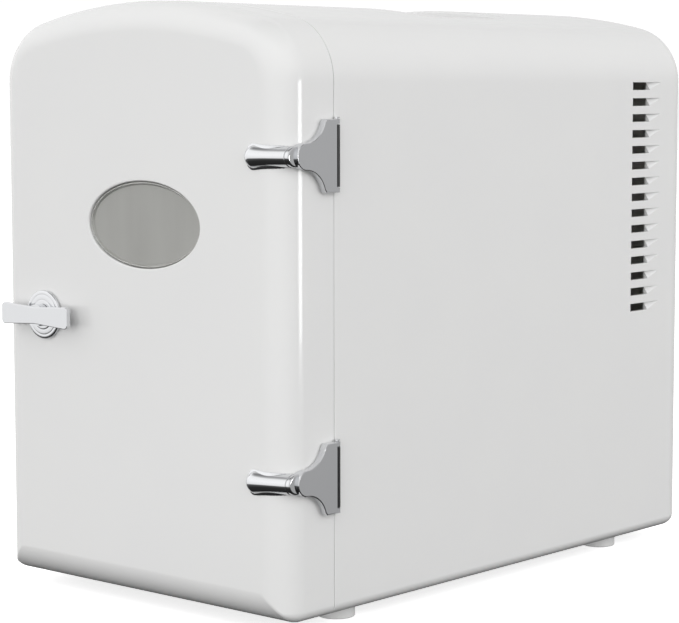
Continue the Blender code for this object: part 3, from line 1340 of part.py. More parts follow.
def build():
    """Builds every piece, each under the empty of the body that it moves with."""
    frame = empty("frame", (0, 0, 0))
    frame.location = FRAME_PLACE
    door = empty("door", (HINGE_X, HINGE_Y, 0), frame)
    latch_turn = empty("latch", (LATCH_X, 0, LATCH_UP), door)
    bail = empty("bail", BAIL_PIVOT, frame)
    inner_rotor = empty("inner_fan", (0, GRILLE_FRONT, COOL_Z), frame)
    rear_rotor = empty("rear_fan", (0, REAR_FAN_BACK, COOL_Z), frame)
    slider = empty("selector", (SWITCH_X, DEPTH, SOCKET_UP), frame)
    outer_shell(frame)
    inner_liner(frame)
    cabinet_insulation(frame)
    latch_keeper(frame)
    shelf(frame)
    feet(frame)
    door_outer_panel(door)
    door_inner_panel(door)
    door_insulation(door)
    window(door)
    door_gasket(door)
    for level, z in HINGE_HEIGHTS.items():
        hinge(level, z, frame, door)
    latch(door, latch_turn)
    carry_handle(frame, bail)
    cooling_unit(frame, inner_rotor, rear_rotor)
    rear_cover(frame)
    sockets(frame, slider)
    circuit_boards(frame)


build()
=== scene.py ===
"""A small white fridge with an arched top: fine shells, plated fittings and moulded plastics.

Shapes are drawn in body coordinates, in metres: x from the middle of the body with the hinges at +X,
y from the face of the door towards the back, and z from the underside of the body.  `ORIGIN` takes
them to the frame, and every finished piece has its place in its mesh.
"""

import logging
import math
from collections.abc import Iterable, Sequence
from dataclasses import dataclass
from enum import Enum

import bmesh
import bpy
from mathutils import Matrix, Vector


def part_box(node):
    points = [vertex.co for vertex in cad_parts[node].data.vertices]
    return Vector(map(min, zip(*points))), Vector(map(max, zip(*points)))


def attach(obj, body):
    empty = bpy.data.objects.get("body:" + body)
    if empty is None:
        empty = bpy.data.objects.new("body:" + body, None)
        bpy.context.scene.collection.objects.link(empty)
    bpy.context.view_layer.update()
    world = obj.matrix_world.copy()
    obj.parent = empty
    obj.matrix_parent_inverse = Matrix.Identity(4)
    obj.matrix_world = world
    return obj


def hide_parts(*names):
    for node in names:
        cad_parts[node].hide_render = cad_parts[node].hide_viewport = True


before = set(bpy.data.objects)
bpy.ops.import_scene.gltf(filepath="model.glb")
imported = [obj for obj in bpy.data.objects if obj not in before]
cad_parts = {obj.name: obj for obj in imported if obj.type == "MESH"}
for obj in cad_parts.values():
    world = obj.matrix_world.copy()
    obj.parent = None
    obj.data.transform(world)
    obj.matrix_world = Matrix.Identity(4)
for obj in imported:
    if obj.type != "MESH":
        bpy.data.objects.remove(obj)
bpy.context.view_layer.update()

logging.basicConfig(level=logging.INFO, format="%(message)s")
LOG = logging.getLogger("fridge")

SHELL_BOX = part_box("outer_shell")
DOOR_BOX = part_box("door_outer_panel")
ORIGIN = Vector(((SHELL_BOX[0].x + SHELL_BOX[1].x) / 2, DOOR_BOX[0].y, SHELL_BOX[0].z))
MM = 0.001
GAP = 0.0003

Point = tuple[float, float]
Spot = tuple[float, float, float]
Ring = list[Spot]


Socket = bpy.types.NodeSocket
Solid = bmesh.types.BMesh
Mesh = bpy.types.Mesh


# Node trees


def add(tree: bpy.types.NodeTree, kind: str, inputs: dict | None = None, **settings: object) -> bpy.types.Node:
    """Adds a node to a tree.

    Args:
        tree: The tree that the node joins.
        kind: The node's type.
        inputs: Values or output sockets, by the input's name or number.
        settings: The node's own properties.

    Returns:
        The node.
    """
    made = tree.nodes.new(kind)
    for name, value in settings.items():
        setattr(made, name, value)
    for key, value in (inputs or {}).items():
        if isinstance(value, bpy.types.NodeSocket):
            tree.links.new(value, made.inputs[key])
        else:
            made.inputs[key].default_value = value
    return made


def linear(code: str) -> tuple[float, float, float, float]:
    """Turns an sRGB hex value into a linear colour.

    Args:
        code: The colour as #rrggbb.

    Returns:
        Red, green, blue and alpha.
    """
    parts = [int(code[i : i + 2], 16) / 255 for i in (1, 3, 5)]
    light = [c / 12.92 if c <= 0.04045 else ((c + 0.055) / 1.055) ** 2.4 for c in parts]
    return (light[0], light[1], light[2], 1.0)


# Finishes


class Grain(Enum):
    """How a surface was made, which decides the shape of its unevenness."""

    PEEL = "slow waves of a polished moulding or a plated casting"
    SPARK = "fine pits of a spark-eroded mould"
    DRAWN = "lines along the way that the metal was drawn or rolled"
    CELLS = "open cells of cut foam"


@dataclass(frozen=True)
class Finish:
    """One finish: a colour that wanders a little, its gloss, and the relief of its surface."""

    name: str
    slot: str
    colour: str
    shade: str
    roughness: float
    spread: float
    grain: Grain
    grain_mm: float
    relief_mm: float
    metallic: float = 0.0
    ior: float = 1.5
    coat: float = 0.0
    transmission: float = 0.0
    glow: float = 0.0
    wander_mm: float = 45.0
    drawn: Spot = (1.0, 1.0, 0.04)
    # Stretches the colour's drift; on the window pane this draws painted vertical streaks of shade from the
    # chamber behind it.
    streak: Spot = (1.0, 1.0, 1.0)

    def material(self) -> bpy.types.Material:
        """Builds the material, or returns it if it has been built.

        Returns:
            The material.
        """
        found = bpy.data.materials.get(self.name)
        if found:
            return found
        made = bpy.data.materials.new(self.name)
        made.use_nodes = True
        tree = made.node_tree
        shader = tree.nodes["Principled BSDF"]
        place = add(tree, "ShaderNodeTexCoord").outputs["Object"]
        self._colour(tree, shader, place)
        relief = self._relief(tree, place)
        limits = {0: relief, 3: self.roughness - self.spread, 4: self.roughness + self.spread}
        rough = add(tree, "ShaderNodeMapRange", limits)
        tree.links.new(rough.outputs[0], shader.inputs["Roughness"])
        waves = {"Strength": 1.0, "Distance": self.relief_mm * MM, "Height": relief}
        bump = add(tree, "ShaderNodeBump", waves)
        tree.links.new(bump.outputs["Normal"], shader.inputs["Normal"])
        plain = {
            "Metallic": self.metallic,
            "IOR": self.ior,
            "Coat Weight": self.coat,
            "Coat Roughness": 0.03,
            "Transmission Weight": self.transmission,
        }
        for socket, value in plain.items():
            shader.inputs[socket].default_value = value
        if self.glow:
            shader.inputs["Emission Color"].default_value = linear(self.colour)
            shader.inputs["Emission Strength"].default_value = self.glow
        return made

    def _colour(self, tree: bpy.types.NodeTree, shader: bpy.types.Node, place: Socket) -> None:
        """Links a colour that drifts between the two tones over a few centimetres.

        Args:
            tree: The material's tree.
            shader: The shader that takes the colour.
            place: The object coordinates.
        """
        along = add(tree, "ShaderNodeMapping", {"Vector": place, "Scale": self.streak}).outputs[0]
        scale = 1 / (self.wander_mm * MM)
        drift = add(tree, "ShaderNodeTexNoise", {"Vector": along, "Scale": scale, "Detail": 2.0})
        tones = {0: drift.outputs[0], 6: linear(self.colour), 7: linear(self.shade)}
        blend = add(tree, "ShaderNodeMix", tones, data_type="RGBA")
        tree.links.new(blend.outputs[2], shader.inputs["Base Color"])

    def _relief(self, tree: bpy.types.NodeTree, place: Socket) -> Socket:
        """Makes the height of the surface's unevenness, from 0 to 1.

        Args:
            tree: The material's tree.
            place: The object coordinates.

        Returns:
            The socket that holds the height.
        """
        scale = 1 / (self.grain_mm * MM)
        if self.grain is Grain.CELLS:
            cells = add(tree, "ShaderNodeTexVoronoi", {"Vector": place, "Scale": scale})
            return cells.outputs["Distance"]
        if self.grain is Grain.DRAWN:
            place = add(tree, "ShaderNodeMapping", {"Vector": place, "Scale": self.drawn}).outputs[0]
        detail = 1.0 if self.grain is Grain.PEEL else 5.0
        noise = add(tree, "ShaderNodeTexNoise", {"Vector": place, "Scale": scale, "Detail": detail})
        return noise.outputs[0]

    def dress(self, *objects: bpy.types.Object) -> None:
        """Gives objects this finish in place of what they had.

        Args:
            objects: The objects to dress.
        """
        for thing in objects:
            thing.data.materials.clear()
            thing.data.materials.append(self.material())


# High-gloss ABS from a polished mould: clean reflections with a faint orange peel a few millimetres long.
WHITE_ABS = Finish(
    "polished_white_abs", "white_shell", "#e6e6e5", "#e3e3e3",
    0.17, 0.02, Grain.PEEL, 7.0, 0.006, ior=1.53, coat=0.35,
)
# Vacuum-formed polystyrene: satin, slightly uneven where the sheet was drawn.
LINER = Finish(
    "satin_white_polystyrene", "white_liner", "#dcdddd", "#d7d8d8",
    0.36, 0.04, Grain.PEEL, 3.0, 0.010, ior=1.57,
)
# Chrome plate over a polished zinc casting: a near mirror whose waves follow the casting's skin.
CHROME = Finish(
    "bright_chrome_plate", "chrome_trim", "#e2e3e5", "#dcdddf",
    0.05, 0.02, Grain.PEEL, 5.0, 0.002, metallic=1.0,
)
# Zinc-plated steel: cool grey, a little dull, with drawn lines.
STEEL = Finish(
    "zinc_plated_steel", "bright_steel", "#b9bcc0", "#a9acb0",
    0.30, 0.08, Grain.DRAWN, 0.5, 0.004, metallic=1.0,
)
# Black enamel on steel strip: dark with a soft sheen.
BLACK_STEEL = Finish(
    "black_enamelled_steel", "black_steel", "#131314", "#1a1a1b",
    0.38, 0.06, Grain.SPARK, 0.6, 0.006,
)
# Extruded aluminium: pale, with lines along the extrusion.
ALUMINIUM = Finish(
    "extruded_aluminium", "finned_aluminium", "#c9ccd0", "#bcbfc3",
    0.34, 0.08, Grain.DRAWN, 0.6, 0.006, metallic=1.0,
)
# Rigid polyurethane foam, cut: cream, matt and full of small cells.
FOAM = Finish(
    "cut_polyurethane_foam", "insulating_foam", "#e3d8b4", "#d6c99f",
    0.92, 0.05, Grain.CELLS, 1.2, 0.25,
)
# Soft grey seal rubber: matt with a slight bloom.
RUBBER = Finish(
    "grey_seal_rubber", "seal_rubber", "#b4b6b6", "#a9abab",
    0.62, 0.06, Grain.SPARK, 0.8, 0.010,
)
# Clear styrene pane in front of an unlit chamber: its grey tone and faint vertical streaks are painted shade
# of the dim chamber behind it, under a glossy skin.
PANE = Finish(
    "clear_styrene_pane", "window_clear", "#d6d6d2", "#bdbdb8",
    0.08, 0.02, Grain.PEEL, 9.0, 0.004, ior=1.55, transmission=0.45, wander_mm=14.0, streak=(1.0, 1.0, 0.12),
)
# Glass-filled black nylon: dull, with pits drawn at 0.5 mm, coarser than real, so that they show.
BLACK_PLASTIC = Finish(
    "black_spark_textured_nylon", "black_moulding", "#1b1c1d", "#222324",
    0.48, 0.06, Grain.SPARK, 0.5, 0.015,
)
# Unglazed alumina plate: chalky white.
CERAMIC = Finish(
    "unglazed_alumina", "ceramic_plate", "#f0efe9", "#e8e6df",
    0.65, 0.05, Grain.SPARK, 0.4, 0.004,
)
# Solder mask over copper: green, semi-gloss.
BOARD = Finish(
    "green_solder_mask", "circuit_board", "#1f5a35", "#184a2b",
    0.42, 0.08, Grain.SPARK, 1.0, 0.010,
)
# Tinted clear lamp lens: a small steady green point.
LAMP = Finish(
    "green_lamp_lens", "green_lamp", "#46d65a", "#3bc950",
    0.15, 0.02, Grain.PEEL, 2.0, 0.002, glow=0.6,
)


# Outlines


def arc(centre: Point, radius: float, start: float, end: float, steps: int) -> list[Point]:
    """Points on a circle.

    Args:
        centre: The circle's centre.
        radius: Its radius.
        start: The first angle, in degrees.
        end: The last angle, in degrees.
        steps: The number of steps between them.

    Returns:
        The points, ends included.
    """
    angles = [math.radians(start + (end - start) * i / steps) for i in range(steps + 1)]
    return [(centre[0] + radius * math.cos(a), centre[1] + radius * math.sin(a)) for a in angles]


def span(one: float, other: float) -> Point:
    """Two places on an axis, the lower one first."""
    return (min(one, other), max(one, other))


def rounded(low: Point, high: Point, radius: float, steps: int = 8) -> list[Point]:
    """A rectangle with round corners.

    Args:
        low: Its lowest corner.
        high: Its highest corner.
        radius: The corners' radius.
        steps: The steps round a corner.

    Returns:
        Its outline, anticlockwise.
    """
    corners = (
        (high[0] - radius, low[1] + radius, -90),
        (high[0] - radius, high[1] - radius, 0),
        (low[0] + radius, high[1] - radius, 90),
        (low[0] + radius, low[1] + radius, 180),
    )
    return [p for a, b, start in corners for p in arc((a, b), radius, start, start + 90, steps)]


def ellipse(centre: Point, half: Point, steps: int = 96) -> list[Point]:
    """An ellipse with the given centre and half axes."""
    turns = [2 * math.pi * i / steps for i in range(steps)]
    return [(centre[0] + half[0] * math.cos(t), centre[1] + half[1] * math.sin(t)) for t in turns]


def stand(outline: Iterable[Point], axis: str, along: float) -> Ring:
    """Stands an outline across an axis.

    Args:
        outline: Points of a plane.
        axis: X, Y or Z, the axis across which the plane stands.
        along: Its place on that axis.

    Returns:
        The points in three dimensions.
    """
    place = "XYZ".index(axis)
    return [(*point[:place], along, *point[place:]) for point in outline]


def fillet(radius: float, steps: int) -> list[Point]:
    """A round edge from its foot to its top, as (inset, rise) pairs."""
    turns = [math.pi / 2 * i / steps for i in range(steps + 1)]
    return [(radius * (1 - math.cos(t)), radius * math.sin(t)) for t in turns]


# Meshes


def loft(rings: Sequence[Ring], closed: bool = False) -> Solid:
    """A skin through rings of points.

    Args:
        rings: Rings with as many points each.
        closed: Whether the last ring joins the first, as in a tube; otherwise both ends are capped.

    Returns:
        The mesh, with its faces pointing outwards.
    """
    mesh = bmesh.new()
    rows = [[mesh.verts.new(point) for point in ring] for ring in rings]
    pairs = list(zip(rows, rows[1:])) + ([(rows[-1], rows[0])] if closed else [])
    for first, second in pairs:
        for i, here in enumerate(first):
            j = (i + 1) % len(first)
            mesh.faces.new((here, first[j], second[j], second[i]))
    if not closed:
        mesh.faces.new(rows[0])
        mesh.faces.new(rows[-1])
    bmesh.ops.recalc_face_normals(mesh, faces=mesh.faces)
    return mesh


def stack(axis: str, levels: Iterable[tuple[Iterable[Point], float]], closed: bool = False) -> Solid:
    """A solid through outlines that stand across an axis, each with its place on it."""
    return loft([stand(outline, axis, along) for outline, along in levels], closed)


def prism(outline: Sequence[Point], axis: str, start: float, end: float) -> Solid:
    """An outline drawn out along an axis."""
    return stack(axis, [(outline, start), (outline, end)])


def box(x: Point, y: Point, z: Point) -> Solid:
    """A box between its lowest and highest x, y and z."""
    return prism([(x[0], z[0]), (x[1], z[0]), (x[1], z[1]), (x[0], z[1])], "Y", *y)


def turned(
    axis: str, centre: Point, profile: Iterable[Point], hollow: bool = False, steps: int = 64
) -> Solid:
    """A turned solid.

    Args:
        axis: The axis that it turns about.
        centre: The axis's place in the plane across it.
        profile: Radius and place along the axis, point by point.
        hollow: Whether the profile closes on itself, round a bore.
        steps: The points round each ring.

    Returns:
        The mesh.
    """
    return stack(axis, [(ellipse(centre, (r, r), steps), along) for r, along in profile], hollow)


def rod(axis: str, centre: Point, radius: float, start: float, end: float, steps: int = 32) -> Solid:
    """A round rod."""
    return turned(axis, centre, [(radius, start), (radius, end)], steps=steps)


def soften(mesh: Solid, axis: int, size: float, segments: int, profile: float = 0.5) -> None:
    """Rounds the rims of both ends of a prism.

    Args:
        mesh: The prism.
        axis: The number of the axis that it is drawn along.
        size: The width of the rounding.
        segments: Its steps.
        profile: Its shape, where 0.5 is round.
    """
    rims = [e for e in mesh.edges if abs(e.verts[0].co[axis] - e.verts[1].co[axis]) < GAP / 10]
    bmesh.ops.bevel(mesh, geom=rims, offset=size, segments=segments, profile=profile, affect="EDGES")


def together(*shapes: Solid) -> Solid:
    """Shapes that stay clear of each other, as one mesh.

    Args:
        shapes: The shapes, which are freed.

    Returns:
        The mesh.
    """
    result = bmesh.new()
    for shape in shapes:
        copy = {vert: result.verts.new(vert.co) for vert in shape.verts}
        for face in shape.faces:
            result.faces.new([copy[vert] for vert in face.verts])
        shape.free()
    return result


def held(name: str, shape: Solid | Mesh) -> bpy.types.Object:
    """Puts a mesh in the scene as an object.

    Args:
        name: The object's name.
        shape: The mesh; a bmesh is freed.

    Returns:
        The object.
    """
    data = shape
    if isinstance(shape, Solid):
        data = bpy.data.meshes.new(name)
        shape.to_mesh(data)
        shape.free()
    made = bpy.data.objects.new(name, data)
    bpy.context.scene.collection.objects.link(made)
    return made


def settled(thing: bpy.types.Object) -> Mesh:
    """Turns an object with its modifiers into a plain mesh, and removes the object.

    Args:
        thing: The object.

    Returns:
        The mesh that its modifiers make.
    """
    graph = bpy.context.evaluated_depsgraph_get()
    result = bpy.data.meshes.new_from_object(thing.evaluated_get(graph))
    bpy.data.objects.remove(thing, do_unlink=True)
    return result


Step = tuple[str, Solid | Mesh]


def worked(name: str, shape: Solid, steps: Iterable[Step]) -> Mesh:
    """Joins shapes to a solid and cuts others from it.

    Args:
        name: A name for the helpers.
        shape: The solid to begin with.
        steps: UNION, DIFFERENCE or INTERSECT with a shape, in order.

    Returns:
        The finished mesh.
    """
    made = held(name, shape)
    helpers = []
    for operation, other in steps:
        helper = held(name + "_helper", other)
        helpers.append(helper)
        step = made.modifiers.new(operation, "BOOLEAN")
        step.operation = operation
        step.object = helper
    result = settled(made)
    for helper in helpers:
        bpy.data.objects.remove(helper, do_unlink=True)
    return result


def piece(
    name: str,
    shape: Solid | Mesh,
    finish: Finish,
    body: str,
    nodes: Sequence[str] = (),
    crease: float = 35.0,
) -> bpy.types.Object:
    """Finishes a piece: moves it to the frame, shades it, dresses it and hangs it on its body.

    Args:
        name: The piece's name.
        shape: Its mesh, in body coordinates.
        finish: Its finish.
        body: The body that it moves with.
        nodes: The plain solids that it stands for.
        crease: The angle from which an edge stays sharp, in degrees.

    Returns:
        The finished object.
    """
    rough = held(name, shape)
    rough.data.transform(Matrix.Translation(ORIGIN))
    rough.data.shade_smooth()
    rough.data.set_sharp_from_angle(angle=math.radians(crease))
    even = rough.modifiers.new("even shading", "WEIGHTED_NORMAL")
    even.keep_sharp = True
    even.weight = 80
    made = held(name, settled(rough))
    made.name = name
    made.data.name = name
    finish.dress(made)
    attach(made, body)
    if nodes:
        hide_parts(*nodes)
    LOG.info("%s: %d faces, %s, on %s", name, len(made.data.polygons), finish.name, body)
    return made


# Geometry Nodes


class Pattern:
    """A Geometry Nodes tree that repeats a shape, made once and run with its own sizes each time."""

    def __init__(self, name: str, sizes: dict[str, str]) -> None:
        """Starts the tree with its named inputs.

        Args:
            name: The tree's name.
            sizes: Each input's socket type, by name.
        """
        self.tree = bpy.data.node_groups.new(name, "GeometryNodeTree")
        face = self.tree.interface
        for way in ("INPUT", "OUTPUT"):
            face.new_socket("Geometry", in_out=way, socket_type="NodeSocketGeometry")
        self.keys = {
            label: face.new_socket(label, in_out="INPUT", socket_type=kind).identifier
            for label, kind in sizes.items()
        }
        self.entry = self.tree.nodes.new("NodeGroupInput")

    def close(self, instances: Socket) -> None:
        """Ends the tree: makes the instances real, gives them the material and puts them out.

        Args:
            instances: What the tree has made.
        """
        real = add(self.tree, "GeometryNodeRealizeInstances", {0: instances})
        named = {"Geometry": real.outputs[0], "Material": self.entry.outputs["Material"]}
        painted = add(self.tree, "GeometryNodeSetMaterial", named)
        add(self.tree, "NodeGroupOutput", {0: painted.outputs[0]})

    def run(self, places: Solid, sizes: dict) -> Mesh:
        """Runs the tree on a mesh.

        Args:
            places: The mesh that the tree takes in.
            sizes: The value of each named input.

        Returns:
            The plain mesh that the tree makes.
        """
        holder = held(self.tree.name, places)
        modifier = holder.modifiers.new(self.tree.name, "NODES")
        modifier.node_group = self.tree
        for label, value in sizes.items():
            modifier[self.keys[label]] = value
        return settled(holder)


def row_pattern() -> Pattern:
    """Makes the tree that repeats a cutter or a slat at even steps.

    Returns:
        The pattern, whose inputs are Count, Step and Material.
    """
    sizes = {"Count": "NodeSocketInt", "Step": "NodeSocketVector", "Material": "NodeSocketMaterial"}
    made = Pattern("even_row", sizes)
    ports = made.entry.outputs
    spacing = {"Count": ports["Count"], "Offset": ports["Step"]}
    line = add(made.tree, "GeometryNodeMeshLine", spacing, mode="OFFSET")
    repeated = {"Points": line.outputs[0], "Instance": ports["Geometry"]}
    copies = add(made.tree, "GeometryNodeInstanceOnPoints", repeated)
    made.close(copies.outputs[0])
    return made


def screw_pattern() -> Pattern:
    """Makes the tree for cross-recess screws with a tapered head, one at each point that it takes in.

    Returns:
        The pattern, whose inputs are Head, Dome, Shank, Length, Recess, Turn and Material.
    """
    sizes = {label: "NodeSocketFloat" for label in ("Head", "Dome", "Shank", "Length", "Recess")}
    sizes |= {"Turn": "NodeSocketRotation", "Material": "NodeSocketMaterial"}
    made = Pattern("cross_screws", sizes)
    tree, ports = made.tree, made.entry.outputs

    shares = {"top": ("Head", 0.7), "narrow": ("Recess", 0.26)}
    shares |= {"deep": ("Dome", 1.1), "deeper": ("Dome", 1.2)}
    part = {
        label: add(tree, "ShaderNodeMath", {0: ports[whole], 1: share}, operation="MULTIPLY").outputs[0]
        for label, (whole, share) in shares.items()
    }
    taper = {"Radius Top": part["top"], "Radius Bottom": ports["Head"], "Depth": ports["Dome"]}
    head = add(tree, "GeometryNodeMeshCone", {"Vertices": 32} | taper)
    raised = add(tree, "ShaderNodeCombineXYZ", {2: ports["Dome"]}).outputs[0]
    narrow, recess = part["narrow"], ports["Recess"]
    for size in ((recess, narrow, part["deep"]), (narrow, recess, part["deeper"])):
        extent = add(tree, "ShaderNodeCombineXYZ", dict(enumerate(size))).outputs[0]
        bar = add(tree, "GeometryNodeMeshCube", {"Size": extent}).outputs[0]
        tool = add(tree, "GeometryNodeTransform", {"Geometry": bar, "Translation": raised}).outputs[0]
        head = add(tree, "GeometryNodeMeshBoolean", {0: head.outputs[0], 1: tool}, operation="DIFFERENCE")
    slim = {"Vertices": 20, "Radius": ports["Shank"], "Depth": ports["Length"]}
    shank = add(tree, "GeometryNodeMeshCylinder", slim).outputs[0]
    middle = add(tree, "ShaderNodeMath", {0: ports["Length"], 1: -0.5, 2: GAP}, operation="MULTIPLY_ADD")
    drop = add(tree, "ShaderNodeCombineXYZ", {2: middle.outputs[0]}).outputs[0]
    hung = add(tree, "GeometryNodeTransform", {"Geometry": shank, "Translation": drop})
    whole = add(tree, "GeometryNodeMeshBoolean", operation="UNION")
    for tool in (head, hung):
        tree.links.new(tool.outputs[0], whole.inputs[1])
    spread = {"Points": ports["Geometry"], "Instance": whole.outputs[0], "Rotation": ports["Turn"]}
    copies = add(tree, "GeometryNodeInstanceOnPoints", spread)
    made.close(copies.outputs[0])
    return made


ROWS = row_pattern()
SCREWS = screw_pattern()


def row(shape: Solid, count: int, step: Spot) -> Mesh:
    """Repeats a shape at even steps, as one mesh."""
    return ROWS.run(shape, {"Count": count, "Step": step, "Material": WHITE_ABS.material()})


@dataclass(frozen=True)
class Screw:
    """A cross-recess screw with a tapered head."""

    head: float
    dome: float
    shank: float
    length: float
    cross: float = 1.15

    def place(self, name: str, places: Iterable[Spot], turn: Spot, nodes: Sequence[str]) -> None:
        """Builds one piece of such screws, in the cabinet.

        Args:
            name: The piece's name.
            places: The foot of each head.
            turn: How they are turned from pointing up, in radians.
            nodes: The plain solids that they stand for.
        """
        points = bmesh.new()
        for place in places:
            points.verts.new(place)
        sizes = {"Head": self.head, "Dome": self.dome, "Shank": self.shank, "Length": self.length}
        sizes |= {"Recess": self.head * self.cross, "Turn": turn, "Material": STEEL.material()}
        piece(name, SCREWS.run(points, sizes), STEEL, "cabinet", nodes)


@dataclass(frozen=True)
class Louvres:
    """Level slots with round ends, one above the other."""

    count: int
    height: float
    pitch: float
    half: float

    def cutters(self, middle: float, through: Point) -> Mesh:
        """The slots' cutters, about a height and between two places in y.

        Args:
            middle: The height of the row's middle.
            through: Where the cutters begin and end in y.

        Returns:
            The cutters, as one mesh.
        """
        low = middle - (self.count - 1) / 2 * self.pitch - self.height / 2
        slat = rounded((-self.half, low), (self.half, low + self.height), self.height / 2 - GAP, 4)
        return row(prism(slat, "Y", *through), self.count, (0.0, 0.0, self.pitch))


# The body's form


@dataclass
class Form:
    """The outer form of door and cabinet: an arch with a small lower edge and round ends."""

    half: float = (SHELL_BOX[1].x - SHELL_BOX[0].x) / 2
    height: float = SHELL_BOX[1].z - SHELL_BOX[0].z
    depth: float = SHELL_BOX[1].y - DOOR_BOX[0].y
    door_depth: float = DOOR_BOX[1].y - DOOR_BOX[0].y
    cabinet_front: float = SHELL_BOX[0].y - DOOR_BOX[0].y
    corner: float = 0.0281
    crown: float = 0.290
    edge: float = 0.005
    end_round: float = 0.0135
    wall: float = 0.0025
    lip: float = 0.00025
    corner_steps: int = 22
    crown_steps: int = 14
    edge_steps: int = 6
    bend_steps: int = 14

    def outline(self, inset: float) -> list[Point]:
        """The arch seen from the front, moved inwards.

        Args:
            inset: How far inwards.

        Returns:
            Its points, from the lower right edge over the top.
        """
        corner_x = self.half - self.corner
        crown_z = self.height - self.crown
        corner_z = crown_z + math.sqrt((self.crown - self.corner) ** 2 - corner_x**2)
        meeting = math.degrees(math.atan2(corner_z - crown_z, corner_x))
        edge = max(self.edge - inset, self.edge / 5)
        right = arc((self.half - inset - edge, inset + edge), edge, -90, 0, self.edge_steps)
        right += arc((corner_x, corner_z), self.corner - inset, 0, meeting, self.corner_steps)
        right += arc((0, crown_z), self.crown - inset, meeting, 90, self.crown_steps)[1:]
        return right + [(-x, z) for x, z in reversed(right[:-1])]

    def top(self, x: float) -> float:
        """The height of the crown over x."""
        return self.height - self.crown + math.sqrt(self.crown**2 - x**2)

    def bend(self, centre: float, way: int, offset: float) -> list[Point]:
        """Sections round an end's edge, as (y, inset) pairs from its flat face out to the side.

        Args:
            centre: The y of the edge's centre.
            way: 1 at the back, -1 at the front.
            offset: How far inside the form.

        Returns:
            The pairs.
        """
        radius = self.end_round - offset
        turns = [math.pi / 2 * (1 - i / self.bend_steps) for i in range(self.bend_steps + 1)]
        return [
            (centre + way * radius * math.sin(t), self.end_round - radius * math.cos(t)) for t in turns
        ]

    def front(self, offset: float) -> list[Point]:
        """Sections of the door's form, from its face to its side."""
        return self.bend(self.end_round, -1, offset)

    def rear(self, offset: float) -> list[Point]:
        """Sections of the cabinet's form at the back, from its end to its side."""
        return self.bend(self.depth - self.end_round, 1, offset)

    def face(self, x: float) -> float:
        """The y of the door's front surface at x, round its edge on the hinge side."""
        past = max(0.0, x - (self.half - self.end_round))
        return self.end_round - math.sqrt(self.end_round**2 - past**2)

    def lips(self, y: float, way: int) -> list[Point]:
        """A softly rounded edge where the side wall ends at y: way is 1 where the wall lies behind y."""
        return [(y + way * (self.lip - rise), inset) for inset, rise in fillet(self.lip, 3)]

    def skin(self, sections: Iterable[Point], closed: bool = False) -> Solid:
        """A solid through arches: sections lists (y, inset)."""
        return loft([stand(self.outline(inset), "Y", y) for y, inset in sections], closed)


FORM = Form()
INSIDE = FORM.wall + GAP


